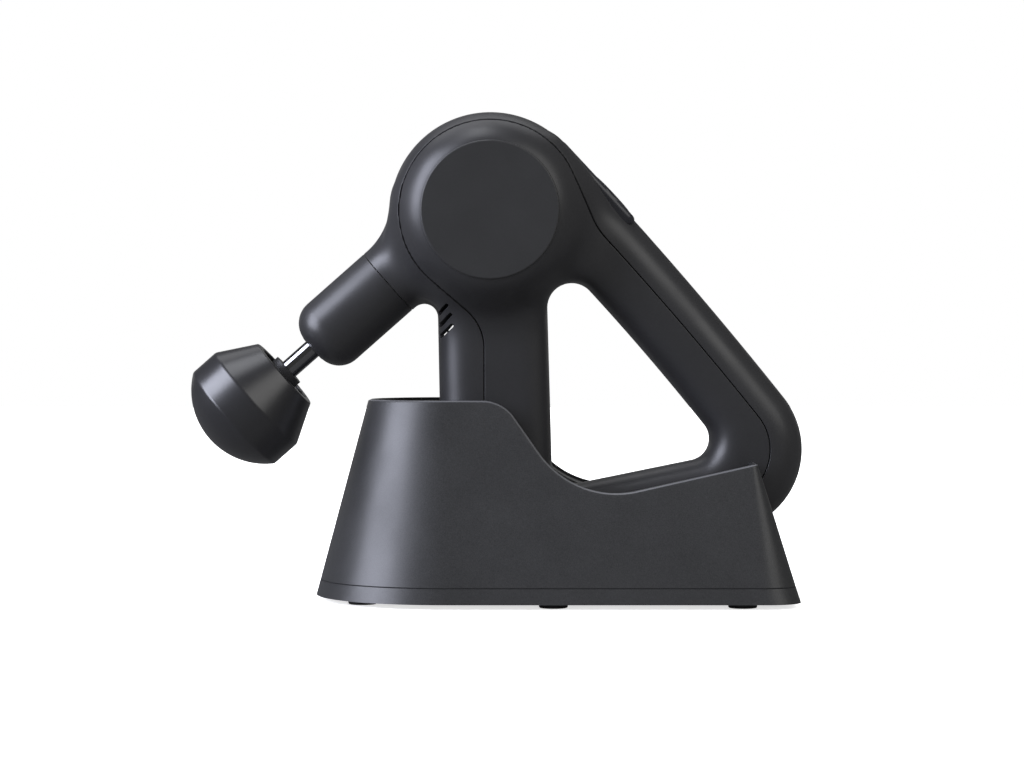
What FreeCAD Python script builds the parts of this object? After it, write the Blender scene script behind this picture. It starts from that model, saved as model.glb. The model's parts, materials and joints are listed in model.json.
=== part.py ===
import FreeCAD, Part
import math
import os

# Massage gun with a triangular ring handle, seated in its charging dock.
# Frame: +X along the dock, +Y to the back, +Z up, origin under the middle of the
# whole object.  The gun is a slab in the XZ plane with a round motor head; its arm
# points down to the left.  All sizes are in millimetres.

# ------------------------------------------------------------ driving dimensions
HEAD = (-2.4, 157.9)        # axis of the motor head, X and Z
HEAD_R = 41.2               # silhouette radius of the head
CAP_R = 27.4                # flat disc cap on each side of the head
CAP_THICK = 2.4
HEAD_HALF = 36.5            # half the width of the head over its caps
SHOULDER = HEAD_R - CAP_R   # the head's flank is a quarter ellipse this wide

ARM_ANGLE = 221.4           # direction of the arm, degrees from +X towards +Z
ARM_OFFSET = 6.6            # the arm's axis passes this far beside the head's axis
ARM_R = 15.1
ARM_SEAM = 50.2             # where the nose sleeve meets the body, along the arm
ARM_END = 91.4
NOSE_ROUND = 10.8

SLAB_HALF = 15.6            # half the thickness of the handle, leg and bar
EDGE_ROUND = 13.5
WALL = 2.2
VENT_WEB = (-22.5, -16.0, -0.8, 0.8, 112.0, 123.0)   # web behind the air slots
SEAM_GAP = 0.15             # half of the groove between two shells

CORNER_LOW = (91.06, 61.13, 34.1)       # lower right corner of the ring
CORNER_LEG = (11.5, 48.5, 34.1)         # foot of the leg
CROTCH = (-29.5, 115.1, -5.6)           # notch between the leg and the arm
NECK_R = 28.5
BACK_BOW = 1600.0                       # slight bow of the handle's outer edge
HOLE_TOP = (30.9, 119.2, 10.0)
HOLE_LEG = (32.5, 57.1, 9.85)
HOLE_LOW = (78.3, 65.5, 8.9)
HOLE_BOW = 985.0

CRANK_R = 8.0               # half of the 16 mm stroke
CRANK_S = -2.0              # crank axis, along the arm
ROD_LENGTH = 38.0
MODULE = 0.8
GEAR_TEETH = 45
PINION_TEETH = 15
BACKLASH = 0.12
PINION_HEADING = 294.5      # direction from the crank axis to the motor axis
SHAFT_R = 4.0
SHAFT_END = 120.4
RUNNING_FIT = 0.03

HEAD_BACK = 106.7           # massage head: back rim, widest ring, dome
HEAD_WIDE = 122.2
HEAD_DOME = 134.3
HEAD_TIP = 147.5
HEAD_MAX_R = 25.0
HEAD_BACK_R = 16.1
COLLAR_BACK = 104.4

PANEL_TILT = 47.0           # the control panel's slope, degrees below +X
PANEL_TOP = 147.4           # distance of its top plane from the origin
PANEL_ENDS = (-119.4, -74.1)
PANEL_HALF = 11.0
PANEL_DEEP = 141.5
BUTTON_T = -88.6            # centre of the button pod along the panel
BUTTON_TRAVEL = 0.6
BOARD_BACK = 138.0          # underside of the main circuit board

DOCK_SEAM = 8.4             # joint between the dock's shell and its base
DOCK_TOP = 90.0             # height at which the tapered shape is defined
DOCK_LEFT = -20.0           # centre of the rounded left end
DOCK_HALF = 52.0            # half the dock's depth at the seam
DOCK_RIGHT = 119.1          # right end at the seam
DOCK_TAPER = math.tan(math.radians(15.0))
DOCK_END_TAPER = math.tan(math.radians(17.2))
DOCK_CORNER = (13.0, 6.0)   # corner radius at the seam and at the top
DOCK_WALL = 2.6
DECK_DROP = 1.2             # the deck lies this far below the rim
RIM_HIGH = 81.8             # level part of the rim
RIM_BEND = (2.6, 81.8, 15.75)
RIM_VALLEY = (31.5, 40.8, 32.0)
RIM_RISE = 0.2217           # slope of the rim towards the right end
DOCK_FEET = [(-53.6, 26.0), (22.8, 42.0), (97.8, 42.0)]
DOCK_SCREWS = [(-48.0, 0.0), (20.0, 33.0), (20.0, -33.0), (95.0, 28.0), (95.0, -28.0)]
BASE_BOTTOM = 2.0
BASE_FLOOR = 4.6
CRADLE_PLAY = 1.6           # room around the gun in the cradle
CRADLE_WALL = 2.0
CRADLE_HALF = 17.0
CRADLE_LEFT = -24.2

CELL_R = 9.2
CELL_LENGTH = 65.0
CELL_FOOT = 46.0            # bottom of the two cells in the leg


# ------------------------------------------------------------------- geometry
def vec(x, y, z):
    return FreeCAD.Vector(x, y, z)


AXIS_Y = vec(0, 1, 0)
ARM_U = (math.cos(math.radians(ARM_ANGLE)), math.sin(math.radians(ARM_ANGLE)))
ARM_V = (ARM_U[1], -ARM_U[0])
ARM_START = (HEAD[0] + ARM_OFFSET * ARM_V[0], HEAD[1] + ARM_OFFSET * ARM_V[1])
ARM_DIR = vec(ARM_U[0], 0, ARM_U[1])


def arm_xz(s, side=0.0):
    """X and Z of a point on the arm: s along it, side across it."""
    x = ARM_START[0] + s * ARM_U[0] + side * ARM_V[0]
    z = ARM_START[1] + s * ARM_U[1] + side * ARM_V[1]
    return x, z


def arm_point(s, side=0.0, y=0.0):
    x, z = arm_xz(s, side)
    return vec(x, y, z)


CRANK = arm_xz(CRANK_S)
GEAR_DISTANCE = MODULE * (GEAR_TEETH + PINION_TEETH) / 2
MOTOR = (CRANK[0] + GEAR_DISTANCE * math.cos(math.radians(PINION_HEADING)),
         CRANK[1] + GEAR_DISTANCE * math.sin(math.radians(PINION_HEADING)))


def joined(shapes):
    """One shape out of several that touch or overlap."""
    first = shapes[0]
    if len(shapes) == 1:
        return first
    return first.fuse(shapes[1:]).removeSplitter()


def without(shape, tools):
    for tool in tools:
        shape = shape.cut(tool)
    return shape


def group(shapes):
    """Separate solids kept together in one node."""
    return Part.makeCompound(shapes)


def block(x0, x1, y0, y1, z0, z1):
    return Part.makeBox(x1 - x0, y1 - y0, z1 - z0, vec(x0, y0, z0))


def disc(centre, radius, y0, y1):
    return Part.makeCylinder(radius, y1 - y0, vec(centre[0], y0, centre[1]), AXIS_Y)


def ring(centre, outer, inner, y0, y1):
    return disc(centre, outer, y0, y1).cut(disc(centre, inner, y0 - 1, y1 + 1))


def post(x, y, radius, z0, z1):
    return Part.makeCylinder(radius, z1 - z0, vec(x, y, z0))


def rod(a, b, radius):
    return Part.makeCylinder(radius, (b - a).Length, a, b - a)


def wire_lead(points, radius):
    """Round lead through the points, with a ball at each turn."""
    runs = [rod(a, b, radius) for a, b in zip(points, points[1:])]
    balls = [Part.makeSphere(radius, p) for p in points[1:-1]]
    return joined(runs + balls)


def lathe(points, arcs=()):
    """Solid of revolution about the arm's axis.

    points are (s, r) pairs round the profile; arcs maps the index of a point to a
    middle point, and the side that starts there is an arc through that middle.
    """
    middles = dict(arcs)
    edges = []
    for i, (s, r) in enumerate(points):
        s2, r2 = points[(i + 1) % len(points)]
        start = vec(s, r, 0)
        end = vec(s2, r2, 0)
        if i in middles:
            middle = vec(middles[i][0], middles[i][1], 0)
            edges.append(Part.Arc(start, middle, end).toShape())
        else:
            edges.append(Part.LineSegment(start, end).toShape())
    face = Part.Face(Part.Wire(edges))
    solid = face.revolve(vec(0, 0, 0), vec(1, 0, 0), 360)
    turn = FreeCAD.Rotation(vec(1, 0, 0), ARM_DIR)
    return placed(solid, FreeCAD.Placement(arm_point(0), turn))


def sleeve(s0, s1, outer, inner):
    return lathe([(s0, inner), (s1, inner), (s1, outer), (s0, outer)])


def placed(shape, placement):
    moved = shape.copy()
    moved.Placement = placement.multiply(shape.Placement)
    return moved


def level_edges(shape, z):
    """Edges that lie in the level plane at z."""
    found = []
    for edge in shape.Edges:
        box = edge.BoundBox
        if abs(box.ZMin - z) < 1e-4 and box.ZLength < 1e-4:
            found.append(edge)
    return found


def on_panel(shape):
    """Take a shape drawn with X along the panel and Z out of it to its place."""
    return placed(shape, FreeCAD.Placement(vec(0, 0, 0), FreeCAD.Rotation(AXIS_Y, PANEL_TILT)))


def chain_wire(circles, inset=0.0):
    """Closed outline of circles (x, z, r) joined by tangents, counter-clockwise.

    r > 0 bulges outward and r < 0 bites inward; inset moves the outline inward.
    """
    rounds = [(x, z, r - inset) for x, z, r in circles]
    steps = []
    for i, (x1, z1, r1) in enumerate(rounds):
        x2, z2, r2 = rounds[(i + 1) % len(rounds)]
        gap = math.hypot(x2 - x1, z2 - z1)
        lean = max(-1.0, min(1.0, (r2 - r1) / gap))
        heading = math.atan2(z2 - z1, x2 - x1) - math.asin(lean)
        side = (-math.sin(heading), math.cos(heading))
        depart = vec(x1 - r1 * side[0], 0, z1 - r1 * side[1])
        arrive = vec(x2 - r2 * side[0], 0, z2 - r2 * side[1])
        steps.append((heading, depart, arrive))
    edges = []
    for i, (x, z, r) in enumerate(rounds):
        came, _, start = steps[i - 1]
        goes, depart, arrive = steps[i]
        if abs(r) > 1e-6:
            turn = (goes - came) % (2 * math.pi)
            if r < 0:
                turn = turn - 2 * math.pi
            half_way = came + turn / 2
            middle = vec(x + r * math.sin(half_way), 0, z - r * math.cos(half_way))
            edges.append(Part.Arc(start, middle, depart).toShape())
        if (arrive - depart).Length > 1e-4:
            edges.append(Part.LineSegment(depart, arrive).toShape())
    return Part.Wire(edges)


def prism(circles, y0, y1, inset=0.0):
    face = Part.Face(chain_wire(circles, inset))
    face.translate(vec(0, y0, 0))
    return face.extrude(vec(0, y1 - y0, 0))


def bowed(first, last, radius):
    """Large circle that both circles touch from inside, for a bowed side."""
    reach_a = radius - first[2]
    reach_b = radius - last[2]
    dx, dz = last[0] - first[0], last[1] - first[1]
    gap = math.hypot(dx, dz)
    along = (reach_a ** 2 - reach_b ** 2 + gap ** 2) / (2 * gap)
    across = math.sqrt(reach_a ** 2 - along ** 2)
    x = first[0] + along * dx / gap - across * dz / gap
    z = first[1] + along * dz / gap + across * dx / gap
    return x, z, radius


def corner_circle(before, corner, after, bite):
    """Circle that rounds a corner (x, z, r) of a path; bite is -1 on a hollow side."""
    x, z, r = corner
    a = math.atan2(before[1] - z, before[0] - x)
    b = math.atan2(after[1] - z, after[0] - x)
    half = abs((b - a + math.pi) % (2 * math.pi) - math.pi) / 2
    middle = a + ((b - a + math.pi) % (2 * math.pi) - math.pi) / 2
    reach = r / math.sin(half)
    return x + reach * math.cos(middle), z + reach * math.sin(middle), bite * r


# ------------------------------------------------------------- the gun's outline
# The neck's hollow curve touches both the head and the arm's upper edge.
NECK_S = math.sqrt((HEAD_R + NECK_R) ** 2 - (ARM_OFFSET + ARM_R + NECK_R) ** 2)
OUTLINE = [CORNER_LOW,
           bowed(CORNER_LOW, (HEAD[0], HEAD[1], HEAD_R), BACK_BOW),
           (HEAD[0], HEAD[1], HEAD_R),
           arm_xz(NECK_S, ARM_R + NECK_R) + (-NECK_R,),
           arm_xz(65.0) + (ARM_R,),
           CROTCH,
           CORNER_LEG]
OPENING = [HOLE_TOP, HOLE_LEG, HOLE_LOW, bowed(HOLE_LOW, HOLE_TOP, HOLE_BOW)]
FOOT_LINE = [CORNER_LEG, CORNER_LOW]

# The side covers fill this outline; the spine frame is the band around it.
SEAM_LOW = (89.5, 61.5, 21.5)
SEAM_HIGH = (66.5, 167.4, -30.0)
COVER_SEAM = [SEAM_LOW,
              bowed(SEAM_LOW, SEAM_HIGH, 1400.0),
              SEAM_HIGH,
              (HEAD[0], HEAD[1], 36.7),
              (-24.9, 102.5, -20.0),
              (15.1, 50.0, 20.0)]


def rounded_slab(half, fillet, inset):
    """The gun's flat body with its opening and its rounded long edges."""
    slab = prism(OUTLINE, -half, half, inset)
    slab = slab.cut(prism(OPENING, -half - 1, half + 1, -inset))
    rims = []
    for edge in slab.Edges:
        box = edge.BoundBox
        if box.YLength < 1e-4 and abs(abs(box.YMin) - half) < 1e-4:
            rims.append(edge)
    return slab.makeFillet(fillet, rims)


def head_drum(flank, half, flat_half):
    """Round head: flat out to the cap's radius, then a quarter ellipse each way."""
    ellipse = Part.Ellipse(vec(CAP_R, half, 0), vec(CAP_R + flank, 0, 0), vec(CAP_R, 0, 0))
    arc = Part.ArcOfEllipse(ellipse, 0, math.pi).toShape()
    lines = Part.makePolygon([vec(CAP_R, -half, 0), vec(0, -half, 0), vec(0, half, 0),
                              vec(CAP_R, half, 0)])
    face = Part.Face(Part.Wire(Part.__sortEdges__([arc] + lines.Edges)))
    drum = face.revolve(vec(0, 0, 0), AXIS_Y, 360)
    drum.translate(vec(HEAD[0], 0, HEAD[1]))
    return drum.common(block(-60, 60, -flat_half, flat_half, 100, 210))


def arm_beyond(s):
    """The arm's far part, from a plane square to it, clear of the leg."""
    reach = ARM_R + 2.5
    return lathe([(s, 0), (s + 60, 0), (s + 60, reach), (s, reach)])


def body_shell():
    """The whole hollow body, before it is split into frame and covers."""
    outer = rounded_slab(SLAB_HALF, EDGE_ROUND, 0.0)
    outer = outer.fuse(head_drum(SHOULDER, HEAD_HALF, HEAD_HALF))
    inner = rounded_slab(SLAB_HALF - WALL, EDGE_ROUND - WALL, WALL)
    inner = inner.fuse(head_drum(SHOULDER - WALL, HEAD_HALF - WALL, HEAD_HALF - 4.3))
    return outer.cut(inner).cut(arm_beyond(ARM_SEAM - SEAM_GAP))


def vent_slots():
    """Three slanted air slots on each side of the leg, near the arm."""
    ends = [((-23.8, 116.2), (-20.0, 119.9)),
            ((-23.0, 111.8), (-18.6, 116.2)),
            ((-22.8, 107.4), (-18.0, 111.8))]
    slots = []
    for low, high in ends:
        slot = [low + (0.7,), high + (0.7,)]
        slots.append(prism(slot, -20, -5))
        slots.append(prism(slot, 5, 20))
    return slots


def panel_pocket(play):
    start, end = PANEL_ENDS
    half = PANEL_HALF + play
    raw = block(start - play, end + play, -half, half, PANEL_DEEP - play, PANEL_TOP + 10)
    return on_panel(raw)


def make_shells():
    shell = body_shell()
    seam_in = prism(COVER_SEAM, -60, 60, SEAM_GAP)
    seam_out = prism(COVER_SEAM, -60, 60, -SEAM_GAP)
    frame = without(shell.cut(seam_out), vent_slots() + [panel_pocket(0.2)])
    frame = frame.fuse(block(*VENT_WEB))
    sides = shell.common(seam_in)
    left = sides.cut(block(-200, 200, -0.1, 60, -50, 250))
    right = sides.cut(block(-200, 200, -60, 0.1, -50, 250))
    boss_at = [(91.0, 61.0), (14.5, 35.2), (40.0, 137.0)]
    flank = SLAB_HALF - WALL / 2
    for x, z in boss_at:
        at = (x, z)
        left = left.fuse(disc(at, 3.4, -flank, -0.1)).cut(disc(at, 1.1, -11, 1))
        right = right.fuse(disc(at, 3.4, 0.1, flank))
        right = without(right, [disc(at, 1.6, -1, 20), disc(at, 2.9, 9.5, 20)])
    recess = HEAD_HALF - CAP_THICK
    for y0, y1, cover in ((-60, -recess, "left"), (recess, 60, "right")):
        tools = [disc(HEAD, CAP_R + 0.1, y0, y1)]
        if cover == "left":
            tools.append(disc(HEAD, 20.0, -60, -25))
            tools += [disc(spot, 1.5, -60, -31) for spot in cap_screw_spots()]
            left = without(left, tools)
        else:
            tools.append(disc(HEAD, 20.0, 25, 60))
            right = without(right, tools)
    screws = []
    for at in boss_at:
        shank = disc(at, 1.05, -9, 9.5)
        screws.append(joined([shank, disc(at, 2.6, 9.5, 11.5)]))
    for at in cap_screw_spots():
        shank = disc(at, 1.1, -34.1, -29.0)
        screws.append(joined([shank, disc(at, 2.4, -35.6, -34.1)]))
    return frame, left, right, group(screws)


def cap_screw_spots():
    """Four screws behind the left cap, round the head's axis."""
    spots = []
    for k in range(4):
        angle = math.radians(45 + 90 * k)
        spots.append((HEAD[0] + 23.5 * math.cos(angle), HEAD[1] + 23.5 * math.sin(angle)))
    return spots


def disc_cap(sign):
    """Disc cap with pockets behind it for the screw heads."""
    outer = HEAD_HALF
    inner = HEAD_HALF - CAP_THICK
    cap = disc(HEAD, CAP_R, inner, outer)
    rim = [e for e in cap.Edges if abs(e.BoundBox.YMin - outer) < 1e-4 and e.BoundBox.YLength < 1e-4]
    cap = cap.makeFillet(0.8, rim)
    cap = without(cap, [disc(at, 2.8, 30, 35.8) for at in cap_screw_spots()])
    cap = cap.fuse(ring(HEAD, 19.8, 17.8, inner - 1.8, inner))
    if sign < 0:
        cap = cap.mirror(vec(0, 0, 0), AXIS_Y)
    return cap


# ------------------------------------------------------------------ nose and arm
def round_nose(start, end, radius, rounding):
    """Profile of a rod whose far end is rounded, as (points, arcs)."""
    flat = radius - rounding
    diagonal = rounding * math.sqrt(0.5)
    points = [(start, 0), (end, 0), (end, flat), (end - rounding, radius), (start, radius)]
    return points, {2: (end - rounding + diagonal, flat + diagonal)}


def make_nose():
    start = ARM_SEAM + SEAM_GAP
    outer = lathe(*round_nose(start, ARM_END, ARM_R, NOSE_ROUND))
    inner = lathe(*round_nose(start - 1, ARM_END - 2.8, ARM_R - WALL, NOSE_ROUND - WALL - 0.1))
    shell = outer.cut(inner).cut(sleeve_bore(5.4))
    seal = lathe([(85.8, SHAFT_R + RUNNING_FIT), (91.0, SHAFT_R + RUNNING_FIT), (91.0, 5.3),
                  (88.0, 5.3), (88.0, 6.8), (85.8, 6.8)])
    return shell, seal


def sleeve_bore(radius):
    return lathe([(-10, 0), (130, 0), (130, radius), (-10, radius)])


# ------------------------------------------------------------------ gears and rod
def spur_gear(teeth, centre, y0, y1, heading):
    """Involute spur gear with one tooth on the heading, in degrees."""
    pressure = math.radians(20)
    pitch = MODULE * teeth / 2
    base = pitch * math.cos(pressure)
    tip = pitch + MODULE
    root = pitch - 1.25 * MODULE
    half_tooth = math.pi / (2 * teeth) - BACKLASH / (4 * pitch)
    half_base = half_tooth + math.tan(pressure) - pressure
    lowest = max(base, root)
    radii = [lowest + (tip - lowest) * k / 4 for k in range(5)]

    def spot(radius, angle):
        return vec(radius * math.cos(angle), 0, radius * math.sin(angle))

    def half_angle(radius):
        roll = math.acos(min(1.0, base / radius))
        return half_base - (math.tan(roll) - roll)

    def flank(points):
        curve = Part.BSplineCurve()
        curve.interpolate(points)
        return curve.toShape()

    edges = []
    step = 2 * math.pi / teeth
    for k in range(teeth):
        middle = math.radians(heading) + k * step
        rising = [spot(r, middle - half_angle(r)) for r in radii]
        falling = [spot(r, middle + half_angle(r)) for r in reversed(radii)]
        foot = half_angle(lowest)
        if root < base:
            edges.append(Part.LineSegment(spot(root, middle - foot), rising[0]).toShape())
        edges.append(flank(rising))
        edges.append(Part.Arc(rising[-1], spot(tip, middle), falling[0]).toShape())
        edges.append(flank(falling))
        if root < base:
            edges.append(Part.LineSegment(falling[-1], spot(root, middle + foot)).toShape())
        gap_start = spot(min(root, lowest), middle + foot)
        gap_end = spot(min(root, lowest), middle + step - foot)
        if root >= base:
            gap_start, gap_end = falling[-1], spot(lowest, middle + step - foot)
        edges.append(Part.Arc(gap_start, spot(root, middle + step / 2), gap_end).toShape())
    face = Part.Face(Part.Wire(edges))
    face.translate(vec(centre[0], y0, centre[1]))
    return face.extrude(vec(0, y1 - y0, 0))


def make_crank():
    gear = spur_gear(GEAR_TEETH, CRANK, -12.0, -4.5, PINION_HEADING)
    windows = []
    for k in range(5):
        angle = math.radians(PINION_HEADING + 72 * k + 36)
        at = (CRANK[0] + 11.4 * math.cos(angle), CRANK[1] + 11.4 * math.sin(angle))
        windows.append(disc(at, 3.0, -13, -7.5))
    gear = without(gear, windows + [disc(CRANK, SHAFT_R, -13, -4)])
    weight = disc(CRANK, 16.0, -16.0, -12.3)
    cut_off = arm_half_plane(3.0)
    hub = disc(CRANK, 6.5, -16.0, -12.3)
    weight = weight.cut(cut_off).fuse(hub).cut(disc(CRANK, SHAFT_R, -17, -11))
    axle = disc(CRANK, SHAFT_R, -31.0, -4.5).cut(ring(CRANK, 6, 3.4, -30.8, -30.2))
    clip = ring(CRANK, 5.6, 3.4, -30.75, -30.25)
    clip = clip.cut(block(CRANK[0] - 1, CRANK[0] + 1, -31, -30, CRANK[1] - 8, CRANK[1]))
    return gear, weight, axle, clip


def arm_half_plane(side):
    """Everything above a plane along the arm, on the crank pin's side."""
    corners = [arm_point(-40, side), arm_point(40, side), arm_point(40, side + 60),
               arm_point(-40, side + 60)]
    face = Part.Face(Part.makePolygon(corners + [corners[0]]))
    face.translate(vec(0, -20, 0))
    return face.extrude(vec(0, 40, 0))


CRANK_PIN = arm_xz(CRANK_S, CRANK_R)
WRIST_S = CRANK_S + math.sqrt(ROD_LENGTH ** 2 - CRANK_R ** 2)
WRIST = arm_xz(WRIST_S)


def make_rod():
    bar_circles = [WRIST + (3.0,), CRANK_PIN + (3.2,)]
    wrist_eye = disc(WRIST, 5.0, -3, 3)
    crank_eye = disc(CRANK_PIN, 7.0, -3, 3)
    bar = prism(bar_circles, -2.4, 2.4)
    link = joined([bar, wrist_eye, crank_eye])
    link = without(link, [disc(CRANK_PIN, 5.5, -5, 5), disc(WRIST, 3.6, -5, 5)])
    bearings = group([ring(CRANK_PIN, 5.5, 3.0, -2.9, 2.9),
                      ring(WRIST, 3.6, 2.5 + RUNNING_FIT, -2.9, 2.9)])
    pin = joined([disc(CRANK_PIN, 3.0, -4.1, 3.0), disc(CRANK_PIN, 4.2, 3.0, 3.7)])
    return link, bearings, pin


def make_output():
    clevis = lathe([(29.0, 0), (43.0, 0), (43.0, 8.5), (29.0, 8.5)])
    slot_ends = [arm_xz(20.0) + (12.0,), arm_xz(30.0) + (12.0,)]
    slot = prism(slot_ends, -3.2, 3.2)
    shaft = lathe([(42.0, 0), (SHAFT_END, 0), (SHAFT_END, SHAFT_R - 0.6),
                   (SHAFT_END - 0.6, SHAFT_R), (42.0, SHAFT_R)])
    shaft = joined([clevis.cut(slot), shaft]).cut(disc(WRIST, 2.5, -10, 10))
    pin = disc(WRIST, 2.5, -8.0, 8.0)
    return shaft, pin


def make_massage_head():
    radius = (HEAD_MAX_R ** 2 + (HEAD_TIP - HEAD_DOME) ** 2) / (2 * (HEAD_TIP - HEAD_DOME))
    centre = HEAD_TIP - radius
    half_angle = math.asin(HEAD_MAX_R / radius) / 2
    dome = (centre + radius * math.cos(half_angle), radius * math.sin(half_angle))
    points = [(SHAFT_END + 3.6, 0), (HEAD_TIP, 0), (HEAD_DOME, HEAD_MAX_R),
              (HEAD_WIDE, HEAD_MAX_R), (HEAD_BACK, HEAD_BACK_R), (HEAD_BACK, 13.0),
              (HEAD_BACK + 1.6, 13.0), (HEAD_BACK + 1.6, 7.0), (SHAFT_END + 3.6, 7.0)]
    cushion = lathe(points, {1: dome})
    bore = SHAFT_R + RUNNING_FIT
    socket = lathe([(COLLAR_BACK, bore), (109.0, bore), (109.0, 5.3), (111.0, 5.3),
                    (111.0, bore), (SHAFT_END + 0.1, bore), (SHAFT_END + 0.1, 0),
                    (SHAFT_END + 3.5, 0), (SHAFT_END + 3.5, 6.95), (COLLAR_BACK, 6.95)])
    grip = lathe([(109.1, bore), (110.9, bore), (110.9, 5.2), (109.1, 5.2)])
    return cushion, socket, grip


# ----------------------------------------------------------------- gear case etc.
def make_gear_case():
    case_round = [CRANK + (22.0,), MOTOR + (9.5,)]
    room_round = [CRANK + (20.0,), MOTOR + (7.5,)]
    neck = sleeve(18.0, 51.4, 11.9, 9.9)
    neck = neck.cut(prism([CRANK + (22.2,), MOTOR + (18.2,)], 3.95, 12.0))
    parts = [prism(case_round, -18.8, 4.0), disc(CRANK, 10.5, -30.2, -18.8),
             disc(HEAD, 26.0, -32.0, -30.2), neck]
    case = joined(parts)
    through_neck = lathe([(0, 0), (60, 0), (60, 9.9), (0, 9.9)])
    room = prism(room_round, -16.4, 5.0)
    mouth = through_neck.common(block(-200, 200, -12, 12, 0, 300))
    tools = [room, mouth, disc(CRANK, 8.0, -30.2, -17.3), disc(CRANK, 6.0, -18, -16),
             disc(CRANK, 7.0, -33, -30)]
    tools += [disc(spot, 1.12, -33, -29) for spot in cap_screw_spots()]
    for k in range(6):
        angle = math.radians(60 * k + 15)
        at = (HEAD[0] + 19.0 * math.cos(angle), HEAD[1] + 19.0 * math.sin(angle))
        tools.append(disc(at, 3.0, -33, -30.1))
    case = without(case, tools)
    plate = prism([CRANK + (22.0,), MOTOR + (18.0,)], 4.0, 6.5)
    plate = plate.cut(disc(MOTOR, 3.4, 0, 10)).cut(neck_clearance())
    return case, plate


def neck_clearance():
    """Space kept free in the motor plate for the rod's swing."""
    return lathe([(20.0, 0), (60, 0), (60, 9.9), (20.0, 9.9)])


def bearing(centre, outer, inner, y0, y1):
    """Ball bearing drawn as one ring with grooved faces."""
    middle = (outer + inner) / 2
    raw = ring(centre, outer, inner, y0, y1)
    groove = (outer - inner) * 0.15
    left = ring(centre, middle + groove, middle - groove, y0 - 1, y0 + 0.4)
    right = ring(centre, middle + groove, middle - groove, y1 - 0.4, y1 + 1)
    return without(raw, [left, right])


def make_motor():
    can = ring(MOTOR, 17.0, 15.8, 6.5, 24.5).fuse(ring(MOTOR, 17.0, 5.5, 6.5, 7.9))
    can = can.fuse(ring(MOTOR, 7.0, 5.5, 7.9, 9.2))
    end_cap = ring(MOTOR, 17.0, 5.5, 24.5, 27.0)
    vents = []
    for k in range(6):
        angle = math.radians(60 * k)
        at = (MOTOR[0] + 11.0 * math.cos(angle), MOTOR[1] + 11.0 * math.sin(angle))
        vents.append(disc(at, 2.2, 24, 28))
    end_cap = without(end_cap, vents)
    bearings = [ring(MOTOR, 5.5, 2.5, 6.6, 9.1), ring(MOTOR, 5.5, 2.5, 24.4, 26.9)]
    yoke = ring(MOTOR, 15.8, 13.6, 11.0, 22.0)
    teeth = []
    coils = []
    for k in range(9):
        turn = FreeCAD.Rotation(AXIS_Y, 40 * k)
        place = FreeCAD.Placement(vec(MOTOR[0], 0, MOTOR[1]), turn)
        tooth = block(9.6, 14.0, 11.0, 22.0, -1.1, 1.1)
        shoe = ring((0, 0), 9.9, 9.1, 11.0, 22.0).common(block(0, 12, 11.0, 22.0, -2.6, 2.6))
        teeth.append(placed(tooth.fuse(shoe), place))
        wound = block(10.2, 13.3, 10.0, 23.0, -2.1, 2.1).cut(block(9, 14, 10.9, 22.1, -1.2, 1.2))
        coils.append(placed(wound, place))
    stator = joined([yoke] + teeth)
    stator_coils = group([coil.cut(stator) for coil in coils])
    rotor = ring(MOTOR, 8.8, 2.5, 10.5, 22.5)
    shaft = disc(MOTOR, 2.5, -12.0, 31.5)
    pinion_heading = PINION_HEADING + 180 + 180.0 / PINION_TEETH
    pinion = spur_gear(PINION_TEETH, MOTOR, -12.0, -4.5, pinion_heading)
    pinion = pinion.cut(disc(MOTOR, 2.5, -13, -4))
    fan = ring(MOTOR, 4.5, 2.5, 28.0, 31.5).fuse(ring(MOTOR, 13.0, 2.5, 28.0, 28.8))
    blades = []
    for k in range(9):
        turn = FreeCAD.Rotation(AXIS_Y, 40 * k)
        blade = block(4.0, 12.8, 28.5, 31.3, -0.5, 0.5)
        place = FreeCAD.Placement(vec(MOTOR[0], 0, MOTOR[1]), turn)
        blades.append(placed(blade, place))
    fan = joined([fan] + blades).cut(disc(MOTOR, 2.5, 27, 33))
    return {"motor_can": can, "motor_end_cap": end_cap, "motor_bearings": group(bearings),
            "motor_stator": stator, "motor_coils": stator_coils, "motor_rotor": rotor,
            "motor_shaft": shaft, "motor_pinion": pinion, "cooling_fan": fan}


# --------------------------------------------------------------- panel and boards
def panel_point(t, y, n):
    """Point at t along the panel and n out of it."""
    return FreeCAD.Rotation(AXIS_Y, PANEL_TILT).multVec(vec(t, y, n))


def panel_block(t0, t1, half, n0, n1):
    return block(t0, t1, -half, half, n0, n1)


def pod_disc(radius, n0, n1):
    return post(BUTTON_T, 0, radius, n0, n1)


def make_panel():
    start, end = PANEL_ENDS
    body = panel_block(start, end, PANEL_HALF, PANEL_DEEP, PANEL_TOP)
    upright = [e for e in body.Edges if e.BoundBox.ZLength > 1]
    body = body.makeFillet(4.0, upright)
    body = body.makeFillet(2.4, level_edges(body, PANEL_TOP))
    hollow = panel_block(start + 2.0, end - 2.0, PANEL_HALF - 2.4, PANEL_DEEP - 1, PANEL_TOP - 2.6)
    window_hole = panel_block(-117.1, -101.9, 7.1, PANEL_TOP - 3, PANEL_TOP + 1)
    body = without(body, [hollow, window_hole, pod_disc(9.35, PANEL_DEEP - 1, PANEL_TOP + 1)])
    window = panel_block(-117.0, -102.0, 7.0, PANEL_TOP - 1.2, PANEL_TOP)
    module = panel_block(-116.0, -103.0, 6.4, PANEL_TOP - 3.8, PANEL_TOP - 1.3)
    return on_panel(body), on_panel(window), on_panel(module)


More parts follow.
